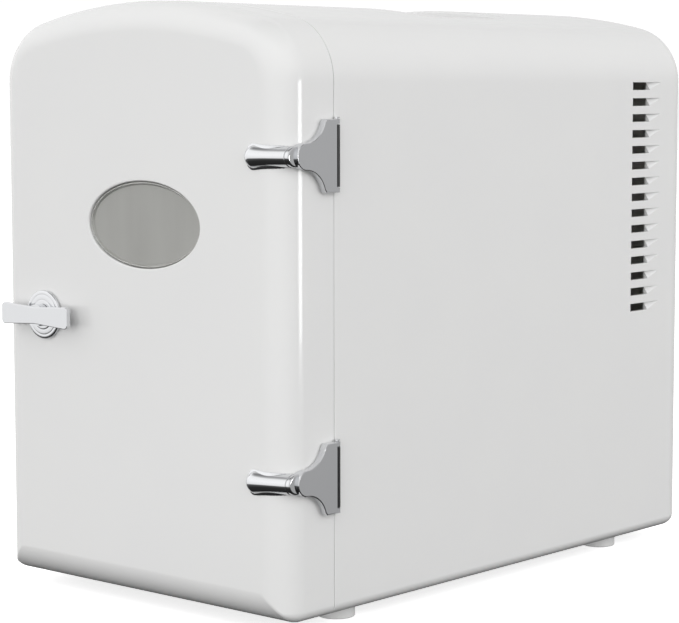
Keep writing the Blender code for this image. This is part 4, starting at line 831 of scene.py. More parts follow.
@dataclass
class Hinge:
    """A strap hinge: a D-shaped bar on the door's face that ends in a flared plate on its side."""

    upper: float = FORM.height - 0.0661
    lower: float = 0.0603
    proud: float = 0.0034
    half: float = 0.0153
    nose: float = 0.0056
    front: float = 0.0057
    sweep: float = 0.0120
    tip_flat: float = 0.0010
    plate_bevel: float = 0.0006
    knuckle: float = 0.0013
    bar_inboard: float = 0.0065
    bar_end: float = 0.0045
    bar_proud: float = 0.0042
    bar_sunk: float = 0.0015
    bar_depth: float = 0.0050
    tip_angle: float = 6.0
    end_steps: int = 11
    run_steps: int = 12
    groove: float = 0.00035
    bar_half: float = 0.0050
    waist: float = 0.00435
    rim: float = 0.0007
    rim_thick: float = 0.0012
    ear: float = 0.0020
    leaf_length: float = 0.0135
    notch: float = 0.0015
    behind_door: float = 0.0002
    bore: float = 0.0017
    bore_end: float = 0.0030
    pin_bore: float = 0.0009

    @property
    def levels(self) -> dict[str, float]:
        """The height of each hinge."""
        return {"upper": self.upper, "lower": self.lower}

    @property
    def pin(self) -> Point:
        """The pin's place, as x and y."""
        return (FORM.half + self.knuckle + GAP, FORM.door_depth + self.behind_door)

    @property
    def bar_start(self) -> float:
        """The x of the bar's round end."""
        return FORM.half - FORM.end_round - self.bar_inboard

    @property
    def run(self) -> Point:
        """Where the bar's run begins, behind its round end, and where it ends, in x."""
        return (self.bar_start + self.bar_end, FORM.half + self.proud - 2 * self.rim)

    def girth(self, share: float) -> float:
        """Half the bar's height, which has narrowed to the waist halfway along its run."""
        return self.bar_half - (self.bar_half - self.waist) * math.sin(math.pi / 2 * min(1.0, 2 * share))

    def notches(self) -> Iterable[Solid]:
        """The cabinet's notches for the hinge leaves, one at each level."""
        room = self.half - self.ear
        for z in self.levels.values():
            across = (FORM.half - self.leaf_length, FORM.half + FORM.wall)
            along = (FORM.cabinet_front - 2 * GAP, FORM.cabinet_front + self.notch)
            yield box(across, along, (z - room, z + room))

    def plate(self, z: float) -> Solid:
        """The flared plate, with a bevel round its face.

        Args:
            z: The hinge's height.

        Returns:
            The plate's mesh.
        """
        nose_y = self.front + self.nose
        rear = self.pin[1] - self.knuckle - GAP
        nose = arc((nose_y, 0), self.nose, 180, 90, 16)
        sweep = arc((nose_y, self.nose + self.sweep), self.sweep, -90, -17, 16)[1:]
        upper = nose + sweep + [(sweep[-1][0] + self.tip_flat, self.half), (rear, self.half)]
        outline = upper + [(y, -up) for y, up in reversed(upper[1:])]
        face = FORM.half + self.proud
        mesh = prism([(y, z + up) for y, up in outline], "X", FORM.half - FORM.end_round / 2, face)
        edges = [e for e in mesh.edges if all(v.co.x > face - GAP for v in e.verts)]
        bmesh.ops.bevel(mesh, geom=edges, offset=self.plate_bevel, segments=3, profile=0.6, affect="EDGES")
        return mesh

    def section(self, x: float, z: float, half: float, front: float, depth: float) -> Ring:
        """One D-shaped section of the bar, deep enough to reach round the door's edge.

        Args:
            x: The section's place.
            z: The hinge's height.
            half: Half its height.
            front: The y of its foremost point.
            depth: How far its curve goes back from there.

        Returns:
            The section's points.
        """
        curve = [(front + depth * (1 + a), half * b) for a, b in arc((0, 0), 1.0, 90, 270, 24)]
        back = FORM.end_round
        return [(x, y, z + up) for y, up in curve + [(back, -half), (back, half)]]

    def round_end(self, z: float, extra: float, proud: float, depth: float) -> list[Ring]:
        """Sections of a round end.

        Args:
            z: The hinge's height.
            extra: How much wider it is than the bar's own.
            proud: How far it stands off the door.
            depth: How far its curve goes back.

        Returns:
            The sections, from the tip on.
        """
        rings = []
        for i in range(self.end_steps + 1):
            turn = math.radians(self.tip_angle + (90 - self.tip_angle) * i / self.end_steps)
            x = self.bar_start + self.bar_end * (1 - math.cos(turn)) - extra
            grown = math.sin(turn)
            rings.append(self.section(x, z, (self.bar_half + extra) * grown, -proud * grown, depth * grown))
        return rings

    def across(self, x: float, z: float, inset: float) -> Ring:
        """The section of the bar's run at x, shrunk by an inset: its front sinks towards the plate.

        Args:
            x: The section's place.
            z: The hinge's height.
            inset: How much smaller it is all round.

        Returns:
            The section's points.
        """
        share = (x - self.run[0]) / (self.run[1] - self.run[0])
        front = (self.bar_proud + self.bar_sunk) * share - self.bar_proud + inset
        return self.section(x, z, self.girth(share) - inset, front, self.bar_depth)

    def bar(self, z: float) -> Solid:
        """The bar: a round end, a straight run with a slight waist, and a groove and a collar at its end.

        Args:
            z: The hinge's height.

        Returns:
            The bar's mesh.
        """
        start, end = self.run
        collar = end - 3 * self.rim
        places = [(start + (collar - start) * i / self.run_steps, 0.0) for i in range(1, self.run_steps + 1)]
        places += [(collar + self.rim * step, self.groove) for step in (0.3, 0.8)]
        places += [(collar + self.rim * step, 0.0) for step in (1.1, 2.0)]
        places += [(end - self.rim + rise, inset) for inset, rise in fillet(self.rim, 5)[1:]]
        rings = self.round_end(z, 0.0, self.bar_proud, self.bar_depth)
        return loft(rings + [self.across(x, z, inset) for x, inset in places])

    def foot_rim(self, z: float) -> Solid:
        """The thin rim under the bar, which follows the door's surface round its edge.

        Args:
            z: The hinge's height.

        Returns:
            The rim's mesh.
        """
        rings = self.round_end(z, self.rim, self.rim_thick, self.rim_thick)
        start = self.run[0]
        for i in range(1, self.run_steps + 1):
            share = i / self.run_steps
            x = start + (FORM.half - self.rim - start) * share
            front = FORM.face(x) - self.rim_thick
            rings.append(self.section(x, z, self.girth(share) + self.rim, front, self.rim_thick))
        return loft(rings)

    def ears(self, z: float) -> list[Solid]:
        """The two eyes that hold the pin, each a rod and the web that joins it to the plate.

        Args:
            z: The hinge's height.

        Returns:
            The lower rod and its web, then the upper ones.
        """
        x, y = self.pin
        rear = y - self.knuckle - GAP
        result = []
        for side in (-1, 1):
            ends = span(z + side * (self.half - self.ear), z + side * self.half)
            result.append(rod("Z", (x, y), self.knuckle, *ends))
            result.append(box((x - self.knuckle, x + self.knuckle), (rear - self.tip_flat, y), ends))
        return result

    def build(self) -> None:
        """Builds both brackets."""
        for level, z in self.levels.items():
            form = FORM.skin(FORM.front(-GAP) + [(2 * FORM.door_depth, -GAP)])
            eyes = self.ears(z)
            reach = (z - 2 * self.half, z + 2 * self.half)
            hole = rod("Z", self.pin, self.pin_bore, *reach, 16)
            blind = rod("Y", (self.run[0], z), self.bore, -self.bore_end, FORM.end_round, 16)
            steps = [
                ("UNION", self.bar(z)),
                ("UNION", self.foot_rim(z)),
                ("DIFFERENCE", form),
                ("UNION", together(eyes[0], eyes[2])),
                ("UNION", together(eyes[1], eyes[3])),
                ("DIFFERENCE", together(hole, blind)),
            ]
            mesh = worked("bracket", self.plate(z), steps)
            piece(f"strap_hinge_{level}", mesh, CHROME, "door", [f"hinge_bracket_{level}"], crease=30.0)


HINGE = Hinge()


@dataclass
class Window:
    """The oval window: where it is, its rounded edge, two stepped panes and the sleeve between them."""

    x: float = 0.00646
    z: float = FORM.height - 0.097
    half: Point = (0.03455, 0.01903)
    recess: float = 0.001
    edge: float = 0.0007
    bezel: float = 0.0014
    dish: float = 0.0010
    step: float = 0.0025
    step_thick: float = 0.0015
    sleeve_wall: float = 0.002
    plug_wall: float = 0.002
    plug_back: float = FORM.door_depth + 0.0122

    def outline(self, margin: float) -> list[Point]:
        """The oval, widened by a margin."""
        return ellipse((self.x, self.z), (self.half[0] + margin, self.half[1] + margin))

    def turned(self, profile: Iterable[Point], closed: bool = False) -> Solid:
        """An oval solid whose profile lists (margin, y)."""
        return stack("Y", [(self.outline(margin), y) for margin, y in profile], closed)

    def cutter(self) -> Solid:
        """The hole in the door's face, whose edge is rounded."""
        flare = [(self.edge - rise, inset) for inset, rise in fillet(self.edge, 5)]
        return self.turned([(self.edge, -FORM.wall), *flare, (0.0, 2 * FORM.wall)])

    def build(self) -> None:
        """Builds the panes and the sleeve."""
        wide = self.step - GAP
        front = FORM.wall + GAP
        back = self.plug_back - self.plug_wall - GAP
        soft = GAP
        outer = [
            (-self.bezel - soft, self.recess + self.dish),
            (-self.bezel, self.recess + self.dish - soft),
            (soft - self.bezel, self.recess + soft),
            (2 * soft - self.bezel, self.recess),
            (-2 * GAP - soft, self.recess),
            (-GAP - soft * 0.3, self.recess + soft * 0.3),
            (-GAP, self.recess + soft),
            (-GAP, front),
            (wide, front),
            (wide, front + self.step_thick),
        ]
        inner = [
            (wide, back - self.step_thick),
            (wide, back),
            (-GAP, back),
            (-GAP, self.plug_back - 2 * GAP),
            (-3 * GAP, self.plug_back - GAP),
        ]
        piece("window_front_pane", self.turned(outer), PANE, "door", ["window_outer_pane"])
        piece("window_back_pane", self.turned(inner), PANE, "door", ["window_inner_pane"])
        ends = (front + self.step_thick + GAP, back - self.step_thick - GAP)
        bore = wide - self.sleeve_wall
        sleeve = [(wide, ends[0]), (wide, ends[1]), (bore, ends[1]), (bore, ends[0])]
        piece("window_collar", self.turned(sleeve, closed=True), LINER, "door", ["window_sleeve"])


WINDOW = Window()


@dataclass
class Latch:
    """The turn latch: a stepped rosette and a bow-tie bar on its hub."""

    x: float = 0.0315 - FORM.half
    z: float = 0.1223
    radius: float = 0.011
    proud: float = 0.0025
    length: float = 0.0447
    tall: float = 0.0099
    waist: float = 0.0075
    front: float = 0.0075
    corner: float = 0.002
    bevel: float = 0.0005
    hub: float = 0.005
    spindle: float = 0.002
    clearance: float = 0.0003
    skin: float = 0.0015
    waist_radius: float = 0.004
    thick: float = 0.0022

    @property
    def bore(self) -> float:
        """The radius of the hole round the spindle."""
        return self.spindle + self.clearance

    def rosette(self) -> None:
        """Builds the rosette, whose face has fine concentric steps."""
        face = -self.proud
        # Shares of the radius and of the height, from the rim inwards.
        steps = (
            (1.0, 0.62), (0.985, 0.72), (0.95, 0.80), (0.88, 0.82), (0.86, 0.80), (0.82, 0.80),
            (0.80, 0.86), (0.74, 0.89), (0.66, 0.90), (0.645, 0.885), (0.61, 0.885), (0.59, 0.96),
            (0.55, 1.0),
        )
        profile = [(self.bore, -GAP), (self.radius - GAP, -GAP), (self.radius, -2 * GAP)]
        profile += [(self.radius * out, face * up) for out, up in steps] + [(self.bore, face)]
        mesh = turned("Y", (self.x, self.z), profile, hollow=True, steps=96)
        piece("rosette", mesh, CHROME, "door", ["latch_rosette"], crease=25.0)

    def outline(self) -> list[Point]:
        """The bar: tall ends with round corners, and straight tapers to a soft waist.

        Returns:
            The bar's outline.
        """
        end = self.length / 2 - self.corner
        corner = self.tall / 2 - self.corner
        lean = math.degrees(math.atan2((self.tall - self.waist) / 2, end))
        low = self.waist / 2 + self.waist_radius * (1 / math.cos(math.radians(lean)) - 1)
        middle = arc((0, low + self.waist_radius), self.waist_radius, -90 - lean, -90 + lean, 6)
        upper = arc((end, corner), self.corner, 90 + lean, 0, 8)
        half = middle + upper + arc((end, -corner), self.corner, 0, -90 - lean, 8)[1:]
        whole = half + [(-a, -b) for a, b in half]
        return [(self.x + a, self.z + b) for a, b in whole]

    def bar(self) -> None:
        """Builds the bar with its hub, its edges rounded."""
        back = self.thick - self.front
        mesh = prism(self.outline(), "Y", -self.front, back)
        soften(mesh, 1, self.bevel, 3, 0.6)
        centre = (self.x, self.z)
        hub = rod("Y", centre, self.hub, back - self.thick / 2, -self.proud - GAP, 48)
        socket = rod("Y", centre, self.bore, self.skin - self.front, 0.0, 32)
        bar = worked("latch_bar", mesh, [("UNION", hub), ("DIFFERENCE", socket)])
        piece("turn_bar", bar, CHROME, "latch", ["latch_handle"], crease=25.0)

    def build(self) -> None:
        """Builds the rosette and the bar."""
        self.rosette()
        self.bar()


LATCH = Latch()


@dataclass
class Cavity:
    """The cold compartment, and the outlines that fit it."""

    half: float = FORM.half - 0.021
    floor: float = 0.022
    ceiling: float = FORM.height - 0.0405
    back: float = FORM.depth - 0.100
    radius: float = 0.006
    wall: float = 0.002
    flange: float = 0.003
    mouth: float = 0.0012
    cove: float = 0.0035

    def outline(self, margin: float) -> list[Point]:
        """The front outline of the compartment, widened by a margin."""
        low = (-self.half - margin, self.floor - margin)
        high = (self.half + margin, self.ceiling + margin)
        return rounded(low, high, max(self.radius + margin, MM), 10)


CAVITY = Cavity()


@dataclass
class Door:
    """The door: a white cup, an inner panel with a plug, and a soft seal."""

    plate: float = 0.003
    plug_gap: float = 0.004
    plug_wall: float = 0.002
    plug_radius: float = 0.005
    plug_round: float = 0.0025
    seal_inset: float = 0.001
    seal_width: float = 0.005
    seal_height: float = 0.002
    seal_in_plate: float = 0.002
    seam: float = 0.0006
    furrow: float = 0.45
    rib_steps: int = 24
    spindle_bore: float = LATCH.bore

    def outer(self) -> None:
        """Builds the white front, with the window's rounded hole and the fittings' holes."""
        outside = FORM.front(0.0) + FORM.lips(FORM.door_depth, -1)
        inside = [(FORM.door_depth, FORM.wall)] + FORM.front(FORM.wall)[::-1]
        through = (-FORM.wall, 2 * FORM.wall)
        holes = [WINDOW.cutter(), rod("Y", (LATCH.x, LATCH.z), self.spindle_bore, *through)]
        holes += [rod("Y", (HINGE.run[0], z), HINGE.bore, *through) for z in HINGE.levels.values()]
        cup = FORM.skin(outside + inside)
        mesh = worked("door_cup", cup, [("DIFFERENCE", together(*holes))])
        piece("door_front", mesh, WHITE_ABS, "door", ["door_outer_panel"])

    def plug_outline(self, inset: float) -> list[Point]:
        """The outline of the plug behind the door.

        Args:
            inset: How far inwards.

        Returns:
            Its points.
        """
        low = (-CAVITY.half + self.plug_gap + inset, CAVITY.floor + self.plug_gap + inset)
        high = (CAVITY.half - self.plug_gap - inset, CAVITY.ceiling - self.plug_gap - inset)
        return rounded(low, high, max(self.plug_radius - inset, MM), 8)

    def inner(self) -> None:
        """Builds the inner panel, whose plug has rounded edges."""
        front = FORM.door_depth - self.plate
        plate = FORM.skin([(front, INSIDE), (FORM.door_depth, INSIDE)])
        back = WINDOW.plug_back
        soft = [
            (self.plug_outline(inset), back - self.plug_round + rise)
            for inset, rise in fillet(self.plug_round, 5)
        ]
        plug = stack("Y", [(self.plug_outline(0.0), (front + FORM.door_depth) / 2)] + soft)
        hollow = prism(self.plug_outline(self.plug_wall), "Y", front - self.plug_wall, back - self.plug_wall)
        through = (back - 2 * self.plug_wall, back + self.plug_wall)
        groove = self.ring([(GAP, FORM.door_depth - self.seal_in_plate), (GAP, FORM.door_depth + self.seam)])
        holes = together(
            prism(WINDOW.outline(0.0), "Y", *through),
            rod("Y", (LATCH.x, LATCH.z), self.spindle_bore, *through),
            groove,
        )
        mesh = worked("door_lining", plate, [("UNION", plug), ("DIFFERENCE", hollow), ("DIFFERENCE", holes)])
        piece("door_lining", mesh, LINER, "door", ["door_inner_panel"])

    def ring(self, ends: Sequence[Point]) -> Solid:
        """A ring round the opening between two places in y.

        Args:
            ends: The clearance and the y of both ends.

        Returns:
            The ring.
        """
        outer = [(CAVITY.outline(self.seal_inset + self.seal_width + room), y) for room, y in ends]
        inner = [(CAVITY.outline(self.seal_inset - room), y) for room, y in reversed(ends)]
        return stack("Y", outer + inner, closed=True)

    def seal(self) -> None:
        """Builds the seal: two soft ribs with a furrow between them."""
        back = FORM.door_depth + self.seam - GAP
        front = back - self.seal_height
        profile = [(0.0, front), (1.0, front)]
        for i in range(self.rib_steps + 1):
            share = 1 - i / self.rib_steps
            swell = abs(math.sin(2 * math.pi * share)) ** 0.5
            profile.append((share, front + self.seal_height * (self.furrow + (1 - self.furrow) * swell)))
        levels = [(CAVITY.outline(self.seal_inset + self.seal_width * share), y) for share, y in profile]
        piece("soft_seal", stack("Y", levels, closed=True), RUBBER, "door", ["door_gasket"], crease=60.0)

    def build(self) -> None:
        """Builds the door's three skins."""
        self.outer()
        self.inner()
        self.seal()


@dataclass
class Vents:
    """The slots of a side, each a hole with a wedge behind it that fades into the surface."""

    count: int = 15
    height: float = 0.0038
    pitch: float = 0.00784
    below_top: float = 0.0354
    from_rear: float = 0.0253
    length: float = 0.025
    ramp: float = 0.0100
    overshoot: float = 1.5

    def cutters(self, side: int) -> Iterable[Mesh]:
        """The cutters of one side: a row of holes, and a row of wedges that fade into the surface.

        Args:
            side: 1 for the hinge side, -1 for the other.

        Returns:
            The two rows.
        """
        back = FORM.depth - self.from_rear
        near, top = back - self.ramp, FORM.height - self.below_top
        low = top - self.height
        across = span(side * (FORM.half + FORM.wall), side * (FORM.half - 2 * FORM.wall))
        step = (0.0, 0.0, -self.pitch)
        yield row(box(across, (back - self.length, near), (low, top)), self.count, step)
        deepest = Vector((side * (FORM.half - FORM.wall), near - GAP, top))
        rim = ((near - GAP, top), (near - GAP, low), (back, top))
        spread = [deepest + (Vector((side * FORM.half, y, z)) - deepest) * self.overshoot for y, z in rim]
        wedge = bmesh.new()
        corners = [wedge.verts.new(point) for point in (deepest, *spread)]
        for trio in ((0, 1, 2), (0, 2, 3), (0, 3, 1), (1, 3, 2)):
            wedge.faces.new([corners[i] for i in trio])
        bmesh.ops.recalc_face_normals(wedge, faces=wedge.faces)
        yield row(wedge, self.count, step)


VENTS = Vents()


@dataclass
class Feet:
    """Four feet screwed on from below."""

    from_side: float = 0.0167
    from_end: float = 0.05195
    height: float = 0.00607
    radius: float = 0.00824
    round: float = 0.0006
    bore: float = 0.0034
    bore_deep: float = 0.0030
    hole: float = 0.0017
    boss: float = 0.004
    boss_height: float = 0.003
    head: float = 0.0028
    dome: float = 0.0017
    screw: float = 0.0014

    @property
    def places(self) -> dict[str, Point]:
        """The centre of each foot."""
        x, front, rear = FORM.half - self.from_side, self.from_end, FORM.depth - self.from_end
        rows = (("front", front), ("rear", rear))
        return {f"{row}_{side}": (at, y) for row, y in rows for side, at in (("left", -x), ("right", x))}

    def build(self) -> None:
        """Builds the feet and their screws."""
        top = self.bore_deep - self.height
        for name, centre in self.places.items():
            profile = [(self.bore, -self.height + self.round / 2), (self.bore + self.round / 2, -self.height)]
            sole = arc((self.radius - self.round, self.round - self.height), self.round, -90, 0, 5)
            profile += sole
            profile += [(self.radius, -GAP), (self.hole, -GAP), (self.hole, top), (self.bore, top)]
            mesh = turned("Z", centre, profile, hollow=True, steps=64)
            piece(f"rest_{name}", mesh, WHITE_ABS, "cabinet", [f"foot_{name}"])
        length = FORM.wall + self.boss_height - 2 * GAP - top
        heads = [(x, y, top - GAP) for x, y in self.places.values()]
        names = [f"foot_screw_{name}" for name in self.places]
        screw = Screw(self.head, self.dome, self.screw, length)
        screw.place("rest_screws", heads, (math.pi, 0.0, 0.0), names)


FEET = Feet()


@dataclass
class CoverScrews:
    """The four screws of the back cover, and the shell's bosses that take them."""

    from_side: float = 0.0225
    up: float = 0.040
    below_top: float = 0.050
    screw: Screw = Screw(0.0026, 0.0010, 0.0014, 0.0070)
    hole: float = 0.0017
    boss_half: float = 0.0045
    boss_length: float = 0.010
    boss_inset: float = 0.0048

    @property
    def places(self) -> dict[str, Point]:
        """The centre of each screw."""
        x = FORM.half - self.from_side
        rows = (("upper", FORM.height - self.below_top), ("lower", self.up))
        return {f"{row}_{side}": (at, z) for row, z in rows for side, at in (("left", -x), ("right", x))}


COVER_SCREWS = CoverScrews()


@dataclass
class Handle:
    """The folding handle, and the recess in the top that it lies in."""

    side: float = 0.035
    behind_middle: float = 0.016
    length: float = 0.063
    below_top: float = 0.0165
    radius: float = 0.008
    wall: float = 0.002
    edge: float = 0.0012
    clearance: float = 0.002
    width: float = 0.005
    grip: float = 0.009
    thick: float = 0.006
    round: float = 0.0016
    outer_bend: float = 0.0063
    inner_bend: float = 0.0036
    front_gap: float = 0.006
    pivot_from_back: float = 0.008
    pivot_up: float = 0.006
    tail: float = 0.004
    pin: float = 0.002
    pin_gap: float = 0.0003
    cuts: int = 24

    @property
    def half(self) -> float:
        """Half the width of the recess."""
        return FORM.half - self.side

    @property
    def ends(self) -> Point:
        """Where the recess begins and ends in y."""
        front = FORM.depth / 2 + self.behind_middle - self.length / 2
        return (front, front + self.length)

    @property
    def floor(self) -> float:
        """The height of the recess's floor."""
        return FORM.height - self.below_top

    @property
    def pivot(self) -> Point:
        """The place of the pins, as y and z."""
        return (self.ends[1] - self.pivot_from_back, self.floor + self.pivot_up)

    def plan(self, margin: float) -> list[Point]:
        """The plan of the recess, widened by a margin, with points along its ends to follow the crown.

        Args:
            margin: How much wider it is.

        Returns:
            The points.
        """
        low = (-self.half - margin, self.ends[0] - margin)
        corners = rounded(low, (self.half + margin, self.ends[1] + margin), self.radius + margin, 8)
        points = []
        for here, there in zip(corners, corners[1:] + corners[:1]):
            cuts = self.cuts if math.dist(here, there) > self.length - 2 * self.radius - MM else 1
            points += [tuple(a + (b - a) * i / cuts for a, b in zip(here, there)) for i in range(cuts)]
        return points

    def tray(self) -> Solid:
        """The solid that the recess is cut from.

        Returns:
            The solid, whose top follows the crown.
        """
        half = self.half + self.wall
        radius = FORM.crown - FORM.wall / 2
        spread = math.degrees(math.asin(half / radius))
        crown = arc((0, FORM.height - FORM.crown), radius, 90 - spread, 90 + spread, 24)
        outline = [(-half, self.floor - self.wall), (half, self.floor - self.wall)] + crown
        return prism(outline, "Y", self.ends[0] - self.wall, self.ends[1] + self.wall)

    def cutter(self) -> Solid:
        """The recess: a coved floor, straight walls and a rounded brim that follows the crown.

        Returns:
            The cutter.
        """
        cove = reversed(fillet(self.edge, 4))
        rings = [stand(self.plan(-inset), "Z", self.floor + self.edge - rise) for inset, rise in cove]
        for inset, rise in fillet(self.edge, 5):
            rings.append([(x, y, FORM.top(x) - self.edge + rise + GAP / 5) for x, y in self.plan(inset)])
        return loft(rings + [stand(self.plan(self.edge), "Z", FORM.height + self.wall)])

    def pin_holes(self, near: float, far: float) -> list[Solid]:
        """The cutters for the two pins' holes, each between two distances from the middle."""
        bore = self.pin + self.pin_gap
        return [rod("X", self.pivot, bore, *span(way * near, way * far)) for way in (-1, 1)]

    def build(self) -> None:
        """Builds the folding handle with rounded edges."""
        half = self.half - self.clearance
        front, back = self.ends[0] + self.front_gap, self.pivot[0] + self.tail
        inner = half - self.width
        outer, tight = self.outer_bend, self.inner_bend
        right = [(half, back)] + arc((half - outer, front + outer), outer, 0, -90, 8)
        left = [(-x, y) for x, y in reversed(right)]
        bow = front + self.grip
        near = arc((tight - inner, bow + tight), tight, 180, 270, 8)
        arch = [(-inner, back), *near, *((-x, y) for x, y in reversed(near)), (inner, back)]
        low = self.pivot[1] - self.thick / 2
        mesh = prism(right + left + arch, "Z", low, low + self.thick)
        soften(mesh, 2, self.round, 4)
        holes = self.pin_holes(inner - self.width, self.half)
        bail = worked("bail", mesh, [("DIFFERENCE", together(*holes))])
        piece("folding_handle", bail, WHITE_ABS, "carry_handle", ["carry_handle"])


HANDLE = Handle()


@dataclass
class Cabinet:
    """The cabinet: the white shell, and the compartment's lining and shelf."""

    rim: float = 0.016
    rim_edge: float = 0.0008
    ledge: float = 0.002
    ledge_height: float = 0.0027
    shelf_up: float = 0.124
    shelf_thick: float = 0.003
    shelf_gap: float = 0.004
    shelf_slots: int = 9
    shelf_slot: float = 0.006
    shelf_border: float = 0.010
    shelf_corner: float = 0.003
    grille_deep: float = 0.0267
    cam_gap: float = 0.0026
    cam_half: float = 0.0025
    cam_reach: float = 0.0155
    cam_thick: float = 0.0025
    cam_off_plug: float = 0.001
    block: float = 0.0205
    cool_up: float = 0.020

    @property
    def cool(self) -> float:
        """The height of the cooling unit's axis."""
        return (CAVITY.floor + CAVITY.ceiling) / 2 + self.cool_up

    @property
    def shelf_ends(self) -> Point:
        """Where the shelf begins and ends in y."""
        return (WINDOW.plug_back + self.shelf_gap, CAVITY.back - self.grille_deep - self.shelf_gap)

    def shell(self) -> None:
        """Builds the outer shell."""
        front = FORM.cabinet_front - GAP
        outside = FORM.lips(front, 1)[::-1] + FORM.rear(0.0)[::-1]
        edge = self.rim - self.rim_edge
        rim = [(FORM.depth - inset, edge + rise) for inset, rise in fillet(self.rim_edge, 4)]
        rim.append((FORM.depth - FORM.wall, self.rim))
        inside = FORM.rear(FORM.wall) + [(front, FORM.wall)]
        body = FORM.skin(outside + rim + inside, closed=True)
        back = COVER.front - GAP
        additions = [HANDLE.tray()]
        for x, z in COVER_SCREWS.places.values():
            far = math.copysign(FORM.half - COVER_SCREWS.boss_inset, x)
            near = math.copysign(abs(x) - COVER_SCREWS.boss_half, x)
            up = (z - COVER_SCREWS.boss_half, z + COVER_SCREWS.boss_half)
            additions.append(box(span(far, near), (back - COVER_SCREWS.boss_length, back), up))
        holes = HANDLE.pin_holes(HANDLE.half - HANDLE.wall, HANDLE.half + 2 * HANDLE.wall)
        cuts = list(HINGE.notches()) + holes
        for centre in FEET.places.values():
            top = FORM.wall + FEET.boss_height
            additions.append(rod("Z", centre, FEET.boss, FORM.wall / 2, top))
            cuts.append(rod("Z", centre, FEET.hole, -FORM.wall, 2 * top))
        deep = COVER.back - COVER_SCREWS.screw.length - 2 * GAP
        for centre in COVER_SCREWS.places.values():
            cuts.append(rod("Y", centre, COVER_SCREWS.hole, deep, COVER.back))
        steps = [
            ("UNION", together(*additions)),
            ("DIFFERENCE", HANDLE.cutter()),
            ("DIFFERENCE", together(*cuts)),
        ]
        steps += [("DIFFERENCE", cutter) for side in (-1, 1) for cutter in VENTS.cutters(side)]
        piece("white_casing", worked("casing", body, steps), WHITE_ABS, "cabinet", ["outer_shell"])

    def lining(self) -> None:
        """Builds the compartment's lining, with a rounded mouth, coved corners and the shelf's ledges."""
        front = FORM.cabinet_front
        flange = FORM.skin([(front, INSIDE), (front + CAVITY.flange, INSIDE)])
        tub = prism(CAVITY.outline(CAVITY.wall), "Y", front + CAVITY.flange / 2, CAVITY.back + CAVITY.wall)
        levels = [(CAVITY.mouth, front - CAVITY.flange)]
        levels += [(CAVITY.mouth - rise, front + inset) for inset, rise in fillet(CAVITY.mouth, 4)]
        cove = CAVITY.back - CAVITY.cove
        levels += [(-inset, cove + rise) for inset, rise in fillet(CAVITY.cove, 5)]
        hollow = stack("Y", [(CAVITY.outline(margin), y) for margin, y in levels])
        ledges = []
        top = CAVITY.floor + self.shelf_up - GAP
        for way in (-1, 1):
            across = span(way * (CAVITY.half - self.ledge), way * (CAVITY.half + CAVITY.wall / 2))
            ledges.append(box(across, self.shelf_ends, (top - self.ledge_height, top)))
        cam_front = WINDOW.plug_back + self.cam_off_plug
        slot_y = (cam_front - self.cam_gap / 2, cam_front + self.cam_thick + self.cam_gap / 2)
        slot_z = (LATCH.z - self.cam_half - self.cam_gap, LATCH.z + self.cam_reach + self.cam_gap)
        far = CAVITY.half + 3 * CAVITY.wall
        low, high = self.cool - self.block, self.cool + self.block
        cuts = list(HINGE.notches())
        cuts.append(box((-far, 6 * CAVITY.wall - far), slot_y, slot_z))
        cuts.append(box((-self.block, self.block), (cove, CAVITY.back + CAVITY.cove), (low, high)))
        steps = [
            ("UNION", tub),
            ("DIFFERENCE", hollow),
            ("UNION", together(*ledges)),
            ("DIFFERENCE", together(*cuts)),
        ]
        piece("cold_lining", worked("lining", flange, steps), LINER, "cabinet", ["inner_liner"])

    def shelf(self) -> None:
        """Builds the shelf, whose slots are a row with even steps."""
        half = CAVITY.half - GAP
        start, end = self.shelf_ends
        low = CAVITY.floor + self.shelf_up
        outline = rounded((-half, start), (half, end), self.shelf_corner)
        plate = prism(outline, "Z", low, low + self.shelf_thick)
        soften(plate, 2, 2 * GAP, 2)
        pitch = 2 * (half - self.shelf_border + self.shelf_slot / 2) / self.shelf_slots
        first = -(self.shelf_slots - 1) / 2 * pitch
        near = (first - self.shelf_slot / 2, start + self.shelf_border)
        far = (first + self.shelf_slot / 2, end - self.shelf_border)
        through = (low - self.shelf_thick, low + 2 * self.shelf_thick)
        slot = prism(rounded(near, far, self.shelf_slot / 2 - GAP), "Z", *through)
        cutters = row(slot, self.shelf_slots, (pitch, 0.0, 0.0))
        piece("slotted_shelf", worked("shelf", plate, [("DIFFERENCE", cutters)]), LINER, "cabinet", ["shelf"])

    def build(self) -> None:
        """Builds the shell, the lining and the shelf."""
        self.shell()
        self.lining()
        self.shelf()


